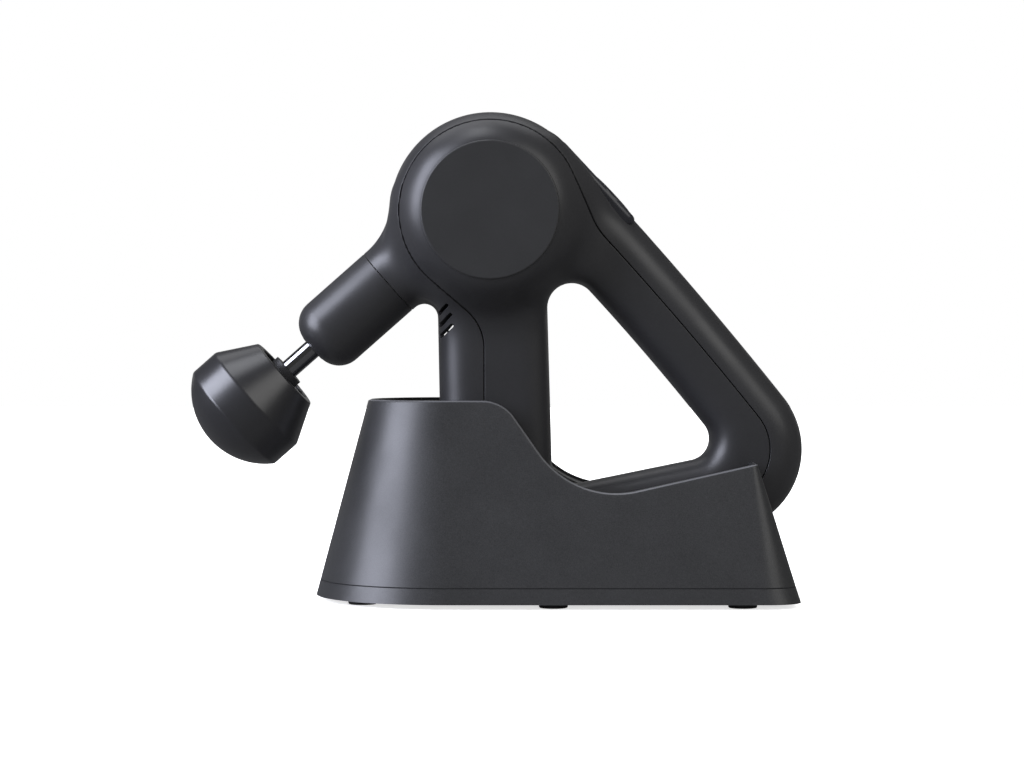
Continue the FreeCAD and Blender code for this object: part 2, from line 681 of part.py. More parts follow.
def make_buttons():
    """Centre power button between two half-ring speed buttons."""
    low = BOARD_BACK + 3.0 + BUTTON_TRAVEL + 0.2
    high = PANEL_TOP + 0.2
    power = pod_disc(4.2, low, high + 0.2)
    power = power.makeFillet(0.6, level_edges(power, high + 0.2))
    ring_body = pod_disc(9.2, low, high).cut(pod_disc(4.9, low - 1, high + 1))
    half_rings = []
    for side in (-1, 1):
        if side < 0:
            keep = block(BUTTON_T - 20, BUTTON_T - 0.3, -20, 20, low - 1, high + 2)
        else:
            keep = block(BUTTON_T + 0.3, BUTTON_T + 20, -20, 20, low - 1, high + 2)
        middle = BUTTON_T + side * 7.1
        ridge = block(middle - 0.5, middle + 0.5, -2.2, 2.2, high - 0.5, high + 0.4)
        half_rings.append(on_panel(ring_body.common(keep).fuse(ridge)))
    switches = []
    for offset in (-7.1, 0.0, 7.1):
        x = BUTTON_T + offset
        low_box = block(x - 2.0, x + 2.0, -2.0, 2.0, BOARD_BACK + 1.2, BOARD_BACK + 2.6)
        plunger = post(x, 0, 1.0, BOARD_BACK + 2.6, BOARD_BACK + 3.0)
        switches.append(on_panel(low_box.fuse(plunger)))
    return on_panel(power), half_rings[0], half_rings[1], group(switches)


def make_boards():
    board = panel_block(-117.0, -72.0, 9.5, BOARD_BACK, BOARD_BACK + 1.2)
    chips = [panel_block(-114.0, -106.0, 4.0, BOARD_BACK - 1.4, BOARD_BACK),
             panel_block(-99.0, -95.0, 6.0, BOARD_BACK - 1.2, BOARD_BACK)]
    main = on_panel(joined([board] + chips))
    battery = joined([block(-14.0, 8.0, -8.0, 8.0, 36.5, 38.0),
                      block(-10.0, -4.0, -3.0, 3.0, 38.0, 39.4),
                      block(0.0, 5.0, -2.0, 2.0, 38.0, 39.2)])
    return main, battery


def bar_frame(shape):
    """Take a shape drawn along the foot line to its place under the bar."""
    rise = math.atan2(CORNER_LOW[1] - CORNER_LEG[1], CORNER_LOW[0] - CORNER_LEG[0])
    turn = FreeCAD.Rotation(AXIS_Y, -math.degrees(rise))
    return placed(shape, FreeCAD.Placement(vec(CORNER_LEG[0], 0, CORNER_LEG[1]), turn))


def oval_coil(length, width, hole, z0, z1):
    """Flat oval winding round the middle of the bar, 50 mm along it."""
    middle = 50.0
    straight = (length - width) / 2

    def oval(radius):
        ends = [post(middle + side * straight, 0, radius, z0, z1) for side in (-1, 1)]
        bridge = block(middle - straight, middle + straight, -radius, radius, z0, z1)
        return joined(ends + [bridge])

    return bar_frame(oval(width / 2).cut(oval(hole / 2)))


def cells_and_straps():
    half = CELL_LENGTH / 2
    seats = [(vec(-11.0, 0, CELL_FOOT), vec(0, 0, 1)), (vec(8.5, 0, CELL_FOOT), vec(0, 0, 1))]
    bar_way = vec(0.985, 0, 0.1725)
    seats.append((vec(60.0, 0, 38.0) - bar_way * half, bar_way))
    grip_way = vec(0.65, 0, -0.76)
    grip_way.normalize()
    seats.append((vec(76.2, 0, 108.3) - grip_way * half, grip_way))
    cells = []
    straps = []
    for start, way in seats:
        cell = Part.makeCylinder(CELL_R, CELL_LENGTH - 1.2, start, way)
        nub = Part.makeCylinder(2.8, 1.2, start + way * (CELL_LENGTH - 1.2), way)
        cells.append(joined([cell, nub]))
    cell_head = CELL_FOOT + CELL_LENGTH
    straps.append(block(-15.0, 12.5, -3.5, 3.5, cell_head, cell_head + 0.3))
    for x in (-11.0, 8.5):
        straps.append(block(x - 4, x + 4, -3.5, 3.5, CELL_FOOT - 0.3, CELL_FOOT))
    for start, way in seats[2:]:
        straps.append(Part.makeCylinder(6.0, 0.3, start - way * 0.3, way))
        straps.append(Part.makeCylinder(4.0, 0.3, start + way * CELL_LENGTH, way))
    return group(cells), group(straps)


# ------------------------------------------------------------------------- dock
def dock_wire(z, inset):
    """The dock's plan at one height: round left end, two corners at the right."""
    rise = z - DOCK_SEAM
    share = rise / (DOCK_TOP - DOCK_SEAM)
    half = DOCK_HALF - DOCK_TAPER * rise - inset
    right = DOCK_RIGHT - DOCK_END_TAPER * rise - inset
    corner = DOCK_CORNER[0] + (DOCK_CORNER[1] - DOCK_CORNER[0]) * share
    corner = max(corner - inset, 1.0)
    left = DOCK_LEFT - half
    diagonal = corner * math.sqrt(0.5)
    bend_x = right - corner
    bend_y = half - corner
    edges = [Part.Arc(vec(DOCK_LEFT, half, z), vec(left, 0, z), vec(DOCK_LEFT, -half, z)),
             Part.LineSegment(vec(DOCK_LEFT, -half, z), vec(bend_x, -half, z)),
             Part.Arc(vec(bend_x, -half, z), vec(bend_x + diagonal, -bend_y - diagonal, z),
                      vec(right, -bend_y, z)),
             Part.LineSegment(vec(right, -bend_y, z), vec(right, bend_y, z)),
             Part.Arc(vec(right, bend_y, z), vec(bend_x + diagonal, bend_y + diagonal, z),
                      vec(bend_x, half, z)),
             Part.LineSegment(vec(bend_x, half, z), vec(DOCK_LEFT, half, z))]
    return Part.Wire([edge.toShape() for edge in edges])


def dock_form(z0, z1, inset):
    return Part.makeLoft([dock_wire(z0, inset), dock_wire(z1, inset)], True, True)


def rim_chain():
    """Region below the dock's rim: level, S-curve down, gentle rise to the right."""
    far = (150.0, RIM_VALLEY[1] + RIM_RISE * (150.0 - RIM_VALLEY[0]))
    start = (-100.0, RIM_HIGH)
    valley = corner_circle(RIM_BEND, RIM_VALLEY, far, -1)
    bend = corner_circle(start, RIM_BEND, RIM_VALLEY, 1)
    return [(-100.0, -40.0, 0.0), (150.0, -40.0, 0.0), far + (0.0,), valley, bend,
            start + (0.0,)]


def above_foot(play, left, half):
    """Everything over the gun's grown foot line, right of a left wall."""
    foot = prism(FOOT_LINE, -half, half, -play)
    over = Part.makePolygon([vec(left, 0, CORNER_LEG[1]), vec(CORNER_LEG[0], 0, CORNER_LEG[1]),
                             vec(CORNER_LOW[0], 0, CORNER_LOW[1]),
                             vec(CORNER_LOW[0] + CORNER_LOW[2] + play, 0, CORNER_LOW[1]),
                             vec(CORNER_LOW[0] + CORNER_LOW[2] + play, 0, 120.0),
                             vec(left, 0, 120.0), vec(left, 0, CORNER_LEG[1])])
    face = Part.Face(over)
    face.translate(vec(0, -half, 0))
    return foot.fuse(face.extrude(vec(0, 2 * half, 0)))


def make_dock():
    below_rim = prism(rim_chain(), -80, 80)
    below_deck = prism(rim_chain(), -80, 80, DECK_DROP)
    below_skin = prism(rim_chain(), -80, 80, DECK_DROP + DOCK_WALL)
    below_shell = prism(rim_chain(), -80, 80, DECK_DROP + DOCK_WALL + 0.1)
    form = dock_form(DOCK_SEAM, DOCK_TOP, 0.0)
    core = dock_form(DOCK_SEAM - 0.05, DOCK_TOP + 0.05, DOCK_WALL)
    body = form.common(below_rim).cut(core.cut(below_deck))
    room = core.common(below_skin)
    shell = body.cut(room)
    pillars = []
    for x, y in DOCK_SCREWS:
        pillar = post(x, y, 3.5, BASE_FLOOR + 0.2, 85.0)
        pillars.append(pillar.common(room.fuse(block(-200, 200, -80, 80, 0, DOCK_SEAM + 0.1))))
    shell = shell.fuse(pillars)
    well_room = above_foot(CRADLE_PLAY, CRADLE_LEFT, CRADLE_HALF)
    well_out = above_foot(CRADLE_PLAY + CRADLE_WALL, CRADLE_LEFT - CRADLE_WALL,
                          CRADLE_HALF + CRADLE_WALL)
    cradle = well_out.common(below_shell)
    cradle = cradle.common(dock_form(DOCK_SEAM, DOCK_TOP, DOCK_WALL + 0.2)).cut(well_room)
    shell = shell.cut(well_room)
    pilots = [post(x, y, 1.42, 0, 18) for x, y in DOCK_SCREWS]
    socket_room = block(67.5, 82.5, 30.0, 60.0, 11.5, 20.5)
    shell = without(shell, pilots + [socket_room])
    return shell, cradle


def make_base():
    plate = dock_form(BASE_BOTTOM, DOCK_SEAM - 0.2, 0.0)
    tray = dock_form(BASE_FLOOR, DOCK_SEAM + 1, DOCK_WALL + 0.4)
    plate = plate.cut(tray)
    feet = []
    screws = []
    for x, y in DOCK_FEET:
        for side in (-1, 1):
            pad = post(x, side * y, 5.75, 0.0, 2.0)
            pad = pad.makeFillet(0.6, level_edges(pad, 0.0))
            feet.append(joined([pad, post(x, side * y, 1.98, 2.0, 4.0)]))
            plate = plate.cut(post(x, side * y, 2.0, 1.0, 4.1))
    for x, y in DOCK_SCREWS:
        plate = without(plate, [post(x, y, 1.6, 0, 6), post(x, y, 2.9, 0, 3.6)])
        screws.append(joined([post(x, y, 2.7, 2.1, 3.6), post(x, y, 1.4, 3.6, 16.0)]))
    return plate, group(feet), group(screws)


def make_dock_parts():
    drop = -CORNER_LEG[2] - CRADLE_PLAY - CRADLE_WALL
    charge_coil = oval_coil(44.0, 26.0, 12.0, drop - 1.7, drop - 0.5)
    ferrite = bar_frame(block(26.0, 74.0, -14.0, 14.0, drop - 3.0, drop - 2.0))
    ballast = post(DOCK_LEFT, 0, 44.0, BASE_FLOOR + 0.1, 12.6)
    ballast = ballast.cut(block(-30.0, 60, -60, 60, 0, 20)).cut(post(-48.0, 0, 4.2, 0, 20))
    board = joined([block(45.0, 95.0, -20.0, 20.0, 6.0, 7.6), block(50, 60, -8, 8, 7.6, 9.4),
                    block(66.5, 83.5, 20.0, 36.0, 6.0, 7.6)])
    socket = block(68.0, 82.0, 35.0, dock_back(16.0) + 0.2, 12.0, 20.0)
    socket = socket.cut(Part.makeCylinder(3.1, 30, vec(75.0, 40.0, 16.0), AXIS_Y))
    pin = Part.makeCylinder(0.9, 9, vec(75.0, 39.9, 16.0), AXIS_Y)
    pads = []
    ground = prism(FOOT_LINE, -12.0, 12.0, -CRADLE_PLAY + 0.05)
    gun_room = prism(FOOT_LINE, -13.0, 13.0, -0.1)
    for x0, x1 in ((0.0, 24.0), (72.0, 96.0)):
        pads.append(ground.cut(gun_room).common(block(x0, x1, -12, 12, 5, 45)))
    return charge_coil, ferrite, ballast, board, joined([socket, pin]), group(pads)


def dock_back(z):
    """Half the dock's depth at one height."""
    return DOCK_HALF - DOCK_TAPER * (z - DOCK_SEAM)


# ----------------------------------------------------------------------- export
def build_nodes():
    nodes = {}
    frame, left, right, screws = make_shells()
    nodes["spine_frame"] = frame
    nodes["left_cover"] = left
    nodes["right_cover"] = right
    nodes["cover_screws"] = screws
    nodes["left_disc_cap"] = disc_cap(-1)
    nodes["right_disc_cap"] = disc_cap(1)
    nodes["nose_sleeve"], nodes["nose_wiper_seal"] = make_nose()
    gear, weight, axle, clip = make_crank()
    nodes["crank_gear"] = gear
    nodes["counterweight"] = weight
    nodes["crank_axle"] = axle
    nodes["axle_clip"] = clip
    nodes["push_rod"], nodes["push_rod_bearings"], nodes["crank_pin"] = make_rod()
    nodes["output_shaft"], nodes["wrist_pin"] = make_output()
    cushion, socket, grip = make_massage_head()
    nodes["massage_head"] = cushion
    nodes["head_socket"] = socket
    nodes["head_grip_ring"] = grip
    nodes["gear_case"], nodes["motor_plate"] = make_gear_case()
    nodes["crank_bearings"] = group([bearing(CRANK, 8.0, SHAFT_R, -22.3, -17.3),
                                     bearing(CRANK, 8.0, SHAFT_R, -30.2, -25.2)])
    nodes["shaft_guide"] = sleeve(51.4, 84.5, 11.0, 8.0)
    bore = SHAFT_R + RUNNING_FIT
    nodes["shaft_bushings"] = group([sleeve(54.0, 65.0, 8.0, bore), sleeve(73.5, 84.5, 8.0, bore)])
    nodes["vibration_dampers"] = group([sleeve(55.0, 61.0, 12.85, 11.0),
                                        sleeve(74.0, 80.0, 12.85, 11.0)])
    nodes.update(make_motor())
    nodes["control_panel"], nodes["screen_window"], nodes["screen_module"] = make_panel()
    power, up, down, switches = make_buttons()
    nodes["power_button"] = power
    nodes["speed_up_button"] = up
    nodes["speed_down_button"] = down
    nodes["button_switches"] = switches
    nodes["main_circuit_board"], nodes["battery_board"] = make_boards()
    nodes["battery_cells"], nodes["battery_straps"] = cells_and_straps()
    nodes["battery_lead"] = wire_lead([vec(-1.2, -6.0, 38.0), vec(-1.2, -6.0, 40.5),
                                       vec(-1.2, -9.5, 44.0), vec(-1.2, -9.5, 114.0),
                                       vec(14, -9.5, 128), vec(24, -9.5, 141),
                                       panel_point(-98.0, -8.0, 130.0),
                                       panel_point(-98.0, -8.0, BOARD_BACK)], 1.2)
    nodes["motor_lead"] = wire_lead([vec(19.9, 16, 151.1), vec(26, 14, 155),
                                     panel_point(-92.0, 7.6, 132.0),
                                     panel_point(-92.0, 7.6, BOARD_BACK)], 1.2)
    nodes["receive_coil"] = oval_coil(36.0, 18.0, 8.0, -29.4, -28.4)
    shell, cradle = make_dock()
    nodes["dock_shell"] = shell
    nodes["dock_cradle"] = cradle
    plate, feet, base_screws = make_base()
    nodes["dock_base_plate"] = plate
    nodes["dock_feet"] = feet
    nodes["dock_base_screws"] = base_screws
    coil, ferrite, ballast, board, inlet, pads = make_dock_parts()
    nodes["dock_charge_coil"] = coil
    nodes["dock_ferrite_sheet"] = ferrite
    nodes["dock_ballast"] = ballast
    nodes["dock_circuit_board"] = board
    nodes["dock_power_socket"] = inlet
    nodes["cradle_rest_pads"] = pads
    return nodes


os.makedirs("parts", exist_ok=True)
for name, shape in build_nodes().items():
    solids = shape.Solids
    kept = solids[0] if len(solids) == 1 else Part.makeCompound(solids)
    if not solids or not kept.isValid():
        print("check", name, len(solids), "solids")
    kept.exportStep("parts/" + name + ".step")
    print(name, len(solids), round(kept.Volume, 1))
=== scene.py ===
import json
import math

import bpy
import numpy as np
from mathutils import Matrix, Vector


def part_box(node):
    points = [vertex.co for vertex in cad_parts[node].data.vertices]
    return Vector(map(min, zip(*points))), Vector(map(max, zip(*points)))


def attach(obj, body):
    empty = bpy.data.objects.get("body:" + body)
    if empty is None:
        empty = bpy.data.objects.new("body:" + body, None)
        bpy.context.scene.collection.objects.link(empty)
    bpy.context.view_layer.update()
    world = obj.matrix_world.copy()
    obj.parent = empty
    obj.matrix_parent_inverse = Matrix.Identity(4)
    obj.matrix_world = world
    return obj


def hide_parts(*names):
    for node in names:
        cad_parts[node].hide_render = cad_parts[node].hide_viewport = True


# Massage gun in its charging dock: the visible skins, their finishes, the light
# and the camera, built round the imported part.  Shapes are worked out in
# millimetres in the part's own frame and turned to metres when a mesh is made.

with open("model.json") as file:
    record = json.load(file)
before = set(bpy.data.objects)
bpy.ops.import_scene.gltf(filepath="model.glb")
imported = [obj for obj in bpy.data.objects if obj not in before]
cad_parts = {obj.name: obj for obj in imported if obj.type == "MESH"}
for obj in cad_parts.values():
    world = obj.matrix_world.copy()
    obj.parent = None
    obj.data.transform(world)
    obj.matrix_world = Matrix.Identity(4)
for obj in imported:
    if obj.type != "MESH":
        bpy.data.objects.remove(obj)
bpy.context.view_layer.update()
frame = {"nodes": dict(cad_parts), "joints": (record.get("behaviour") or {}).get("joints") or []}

MM = 0.001
FAR = 1e6                   # a distance that nothing reaches
OUTSIDE = -9.0              # value of a cut's field where it has no effect
ON_PLANE = 1e-5             # a point this near the mirror plane lies on it
FLANK_ONLY = -4.0           # vents and screw wells are cut only where y is below this


def box_mm(node):
    low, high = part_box(node)
    return np.array(low) / MM, np.array(high) / MM


def joint_named(name):
    return next(joint for joint in frame["joints"] if joint["name"] == name)


# ------------------------------------------------------------ driving dimensions
disc_low, disc_high = box_mm("left_disc_cap")
HEAD = ((disc_low[0] + disc_high[0]) / 2, (disc_low[2] + disc_high[2]) / 2)
CAP_R = (disc_high[0] - disc_low[0]) / 2
CAP_EDGE = CAP_R + 0.35     # the cap's edge covers the seat in the head's flank
CAP_THICK = 2.4
HEAD_R = 41.2
HEAD_HALF = 36.5            # half the width of the head over its caps
FLANK_CORE = 23.4           # the flank is a quarter ellipse from here to HEAD_R
FLANK_HALF = 36.6           # half the width of that ellipse's barrel
SKIN_LOW = (disc_low[0] - 34, -HEAD_HALF - 1.5, 12.0)    # box round half of the gun's skin
SKIN_HIGH = (128.0, 1.9, 201.0)
FREE_RISE = 24.0            # the slab's rim draws back this far where the head stands free
FREE_FROM = (45.0, 75.0)    # directions round the head between which it does, in degrees
FREE_TO = (140.0, 172.0)

stroke = joint_named("shaft_stroke")["axis"]
ARM_U = (stroke[0], stroke[2])
ARM_V = (ARM_U[1], -ARM_U[0])
ARM_OFFSET = 6.6            # the arm's axis passes this far beside the head's axis
ARM_START = (HEAD[0] + ARM_OFFSET * ARM_V[0], HEAD[1] + ARM_OFFSET * ARM_V[1])
ARM_R = 15.1
ARM_SEAM = 50.2             # where the nose sleeve meets the body, along the arm
ARM_GAP = 0.04              # half of the groove there
ARM_END = 91.4
ARM_MELTS = (20.0, 46.0)    # along the arm, where the slab turns into a tube
NOSE_ROUND = 10.8
NOSE_BORE = 5.4             # opening round the shaft
NOSE_FACE = 2.8             # thickness of the sleeve's end
NECK_R = 28.5

SLAB_HALF = 15.6            # half the thickness of the handle, leg and bar
EDGE_ROUND = 14.4
HOLE_ROUND = (10.0, 13.0)   # edge radius of the opening, at the leg and the handle
BLEND = 20.0                # reach of the soft blend between head and handle
WALL = 1.7
NET_STEP = 1.25             # cell of the grid that the gun's skin is found on
SNAP = 0.35                 # points this near a cut are moved onto it
NORMAL_REACH = 4.0          # the shading is averaged over this distance
SEAM_GAP = 0.2
SEAM_LIP = 0.28             # rounding of the edges along the seams

CORNER_LOW = (91.06, 61.13, 34.1)
CORNER_LEG = (11.5, 48.5, 34.1)
CROTCH = (-29.5, 115.1, -5.6)
HOLE_TOP = (30.9, 119.2, 10.0)
HOLE_LEG = (32.5, 57.1, 9.85)
HOLE_LOW = (78.3, 65.5, 8.9)
BACK_BOW = 1600.0
HOLE_BOW = 985.0
VENTS = [((-23.8, 116.2), (-20.0, 119.9)),
         ((-23.0, 111.8), (-18.6, 116.2)),
         ((-22.8, 107.4), (-18.0, 111.8))]
VENT_R = 0.7
VENT_WEB = ((-22.5, -0.8, 112.0), (-16.0, 0.8, 123.0))   # web behind the air slots
SEAM_RIB = ((104.0, -0.8, 62.0), (109.5, 0.8, 86.0))     # rib behind the seam in the handle
COVER_SCREWS = [(91.0, 61.0), (14.5, 35.2), (40.0, 137.0)]
SCREW_WELL_R = 2.9

HEAD_BACK = 106.7           # massage head: back rim, widest ring, dome
HEAD_WIDE = 122.2
HEAD_DOME = 134.3
HEAD_TIP = 147.5
HEAD_MAX_R = 25.0
HEAD_BACK_R = 16.1
HEAD_HOLLOW_R = 13.0        # hollow in its back, and the bore for the socket
HEAD_BORE_R = 7.0
HEAD_BORE_END = 124.0
DOME_EDGE = 2.2             # rounding between the band and the dome

PANEL_TILT = math.radians(47.0)
PANEL_ENDS = (-119.4, -74.1)
PANEL_HALF = 11.0
PANEL_TOP = 147.4           # distance of its top plane from the origin
PANEL_DEEP = 141.5
PANEL_FLOOR = 125.0         # bottom of the pocket under the panel
PANEL_SETTLE = 0.6          # the body closes in this far under the panel's edge
PANEL_CORNER = 4.0
PANEL_STEP = 0.42           # cell of the grid that the panel is found on
POD_T = -88.6               # centre of the button pod along the panel
POD_R = 9.35
WINDOW = (-109.5, 7.6, 7.1)   # middle along the panel, half length, half width

DOCK_SEAM = 8.4             # joint between the dock's shell and its base
DOCK_TOP = 90.0
DOCK_LEFT = -20.0
DOCK_HALF = 52.0
DOCK_RIGHT = 119.1
DOCK_TAPER = math.tan(math.radians(15.0))
DOCK_END_TAPER = math.tan(math.radians(17.2))
DOCK_CORNER = (13.0, -4.5)
RIM_HIGH = 81.8
RIM_BEND = (2.6, 81.8, 15.75)
RIM_VALLEY = (31.5, 40.8, 37.5)
RIM_RISE = 0.2217
RIM_ROUND = 1.2             # the bevel on the dock's upper edge; its rows are below, each
                            # with an inset and a drop as shares of this size
RIM_EDGE = [(0.02, 0.64), (0.06, 0.52), (0.88, 0.08), (0.95, 0.02), (1.0, 0.0)]
HIGHLIGHT_LIFT = 0.03            # the strip of painted highlight along the bevel stands this far off it
RIM_WIDE = 2.6              # width of the rim round the sunken deck
DECK_DROP = 1.2
STEP_HIGH, STEP_LOW = 0.4, 0.3   # roundings of the step from the rim to the deck
WELL_LIP = 0.5
DOCK_SKIN = 1.6             # thickness of the dock's shell
INLET = (75.0, 16.0, 7.2, 4.2)   # middle of the power inlet's window, half sizes
INLET_CORNER = 1.2
CRADLE_PLAY = 1.6
CRADLE_HALF = 17.0
CRADLE_LEFT = -24.2


# -------------------------------------------------------------------- outlines
def arm_xz(s, side=0.0):
    x = ARM_START[0] + s * ARM_U[0] + side * ARM_V[0]
    z = ARM_START[1] + s * ARM_U[1] + side * ARM_V[1]
    return x, z


def bowed(first, last, radius):
    """Large circle that both circles touch from inside, for a bowed side."""
    reach_a = radius - first[2]
    reach_b = radius - last[2]
    dx, dz = last[0] - first[0], last[1] - first[1]
    gap = math.hypot(dx, dz)
    along = (reach_a ** 2 - reach_b ** 2 + gap ** 2) / (2 * gap)
    across = math.sqrt(reach_a ** 2 - along ** 2)
    x = first[0] + along * dx / gap - across * dz / gap
    z = first[1] + along * dz / gap + across * dx / gap
    return x, z, radius


def corner_circle(before, corner, after, bite):
    """Circle that rounds a corner (x, z, r) of a path; bite is -1 on a hollow side."""
    x, z, r = corner
    a = math.atan2(before[1] - z, before[0] - x)
    b = math.atan2(after[1] - z, after[0] - x)
    turn = (b - a + math.pi) % (2 * math.pi) - math.pi
    reach = r / math.sin(abs(turn) / 2)
    middle = a + turn / 2
    return x + reach * math.cos(middle), z + reach * math.sin(middle), bite * r


HEAD_CIRCLE = (HEAD[0], HEAD[1], HEAD_R)
NECK_S = math.sqrt((HEAD_R + NECK_R) ** 2 - (ARM_OFFSET + ARM_R + NECK_R) ** 2)
OUTLINE = [CORNER_LOW,
           bowed(CORNER_LOW, HEAD_CIRCLE, BACK_BOW),
           HEAD_CIRCLE,
           arm_xz(NECK_S, ARM_R + NECK_R) + (-NECK_R,),
           arm_xz(65.0) + (ARM_R,),
           CROTCH,
           CORNER_LEG]
OPENING = [HOLE_TOP, HOLE_LEG, HOLE_LOW, bowed(HOLE_LOW, HOLE_TOP, HOLE_BOW)]
SEAM_LOW = (89.5, 61.5, 21.5)
SEAM_HIGH = (66.5, 167.4, -30.0)
COVER_SEAM = [SEAM_LOW,
              bowed(SEAM_LOW, SEAM_HIGH, 1400.0),
              SEAM_HIGH,
              (HEAD[0], HEAD[1], 36.7),
              (-24.9, 102.5, -20.0),
              (15.1, 50.0, 20.0)]


def outline_distance(x, z, circles):
    """Signed distance, negative inside, to circles joined by tangents.

    The circles (x, z, r) run counter-clockwise; r > 0 bulges and r < 0 bites.
    """
    steps = []
    for (x1, z1, r1), (x2, z2, r2) in zip(circles, circles[1:] + circles[:1]):
        gap = math.hypot(x2 - x1, z2 - z1)
        lean = max(-1.0, min(1.0, (r2 - r1) / gap))
        heading = math.atan2(z2 - z1, x2 - x1) - math.asin(lean)
        side = np.array((-math.sin(heading), math.cos(heading)))
        steps.append((heading, (x1, z1) - r1 * side, (x2, z2) - r2 * side))
    best = np.full(x.shape, FAR)
    for i, (cx, cz, r) in enumerate(circles):
        came = steps[i - 1][0]
        goes, depart, arrive = steps[i]
        if abs(r) > 1e-6:
            turn = (goes - came) % (2 * math.pi)
            if r < 0:
                turn = turn - 2 * math.pi
            angle = np.arctan2(z - cz, x - cx) - came + math.copysign(math.pi / 2, r)
            swept = (angle * math.copysign(1, turn)) % (2 * math.pi)
            found = math.copysign(1, r) * (np.hypot(x - cx, z - cz) - abs(r))
            nearer = (swept <= abs(turn)) & (np.abs(found) < np.abs(best))
            best = np.where(nearer, found, best)
        length = math.hypot(*(arrive - depart))
        if length > 1e-4:
            ux, uz = (arrive - depart) / length
            px, pz = x - depart[0], z - depart[1]
            raw = px * ux + pz * uz
            along = np.clip(raw, 0, length)
            away = np.hypot(px - along * ux, pz - along * uz)
            away = np.where(raw == along, away, away * 1.0001 + 1e-6)
            found = np.copysign(away, px * uz - pz * ux)
            best = np.where(np.abs(found) < np.abs(best), found, best)
    return best


def smooth_step(value, low, high):
    t = np.clip((value - low) / (high - low), 0, 1)
    return t * t * (3 - 2 * t)


def smooth_min(a, b, reach):
    reach = np.maximum(reach, 1e-3)
    near = np.maximum(reach - np.abs(a - b), 0) / reach
    return np.minimum(a, b) - near ** 3 * reach / 6


def rounded_edge(a, b, radius):
    """Distance to the corner between two faces, with its edge rounded."""
    outer = np.hypot(np.maximum(a + radius, 0), np.maximum(b + radius, 0))
    return outer + np.minimum(np.maximum(a, b) + radius, 0) - radius


def arm_coordinates(x, z):
    dx, dz = x - ARM_START[0], z - ARM_START[1]
    return dx * ARM_U[0] + dz * ARM_U[1], dx * ARM_V[0] + dz * ARM_V[1]


def gun_distance(points):
    """Distance to the gun's outer surface: a rounded slab blended into the head."""
    x, y, z = points.T
    y = np.abs(y)
    s, side = arm_coordinates(x, z)
    on_arm = smooth_step(s, *ARM_MELTS) * smooth_step(side, -24, -15.5)
    half = SLAB_HALF + (ARM_R - SLAB_HALF) * on_arm
    edge = EDGE_ROUND + (ARM_R - EDGE_ROUND) * on_arm
    hole_edge = HOLE_ROUND[0] + (HOLE_ROUND[1] - HOLE_ROUND[0]) * smooth_step(x, 34, 54)
    around = np.degrees(np.arctan2(z - HEAD[1], x - HEAD[0]))
    around = np.where(around < -90, around + 360, around)
    free = smooth_step(around, *FREE_FROM) * (1 - smooth_step(around, *FREE_TO))
    outer = outline_distance(x, z, OUTLINE)
    rim = outer + FREE_RISE * free
    hole = -outline_distance(x, z, OPENING)
    slab = -smooth_min(-rounded_edge(rim, y - half, edge),
                       -rounded_edge(hole, y - half, hole_edge), 3.0)
    wide, high = HEAD_R - FLANK_CORE, FLANK_HALF
    across = np.maximum(np.hypot(x - HEAD[0], z - HEAD[1]) - FLANK_CORE, 0) / wide
    deep = y / high
    size = np.maximum(np.hypot(across, deep), 1e-3)
    slope = np.hypot(across / wide, deep / high) / size
    drum = (size - 1) / np.maximum(slope, 1e-3)
    body = smooth_min(slab, drum, BLEND * smooth_step(y, 2, 14))
    inside_outline = np.maximum(outer, hole)
    return -smooth_min(-body, -inside_outline, 3 * smooth_step(y, 1, 8))


def gradient(field, points, step=0.05):
    out = np.empty_like(points)
    for axis in range(3):
        shift = np.zeros(3)
        shift[axis] = step
        out[:, axis] = (field(points + shift) - field(points - shift)) / (2 * step)
    return out


def unit(vectors):
    size = np.linalg.norm(vectors, axis=-1, keepdims=True)
    return vectors / np.maximum(size, 1e-9)


def settle(points, field, rounds=3):
    """Points pulled onto the surface where the field is zero."""
    for _ in range(rounds):
        slope = gradient(field, points)
        points = points - slope * (field(points) / np.maximum((slope ** 2).sum(1), 1e-6))[:, None]
    return points


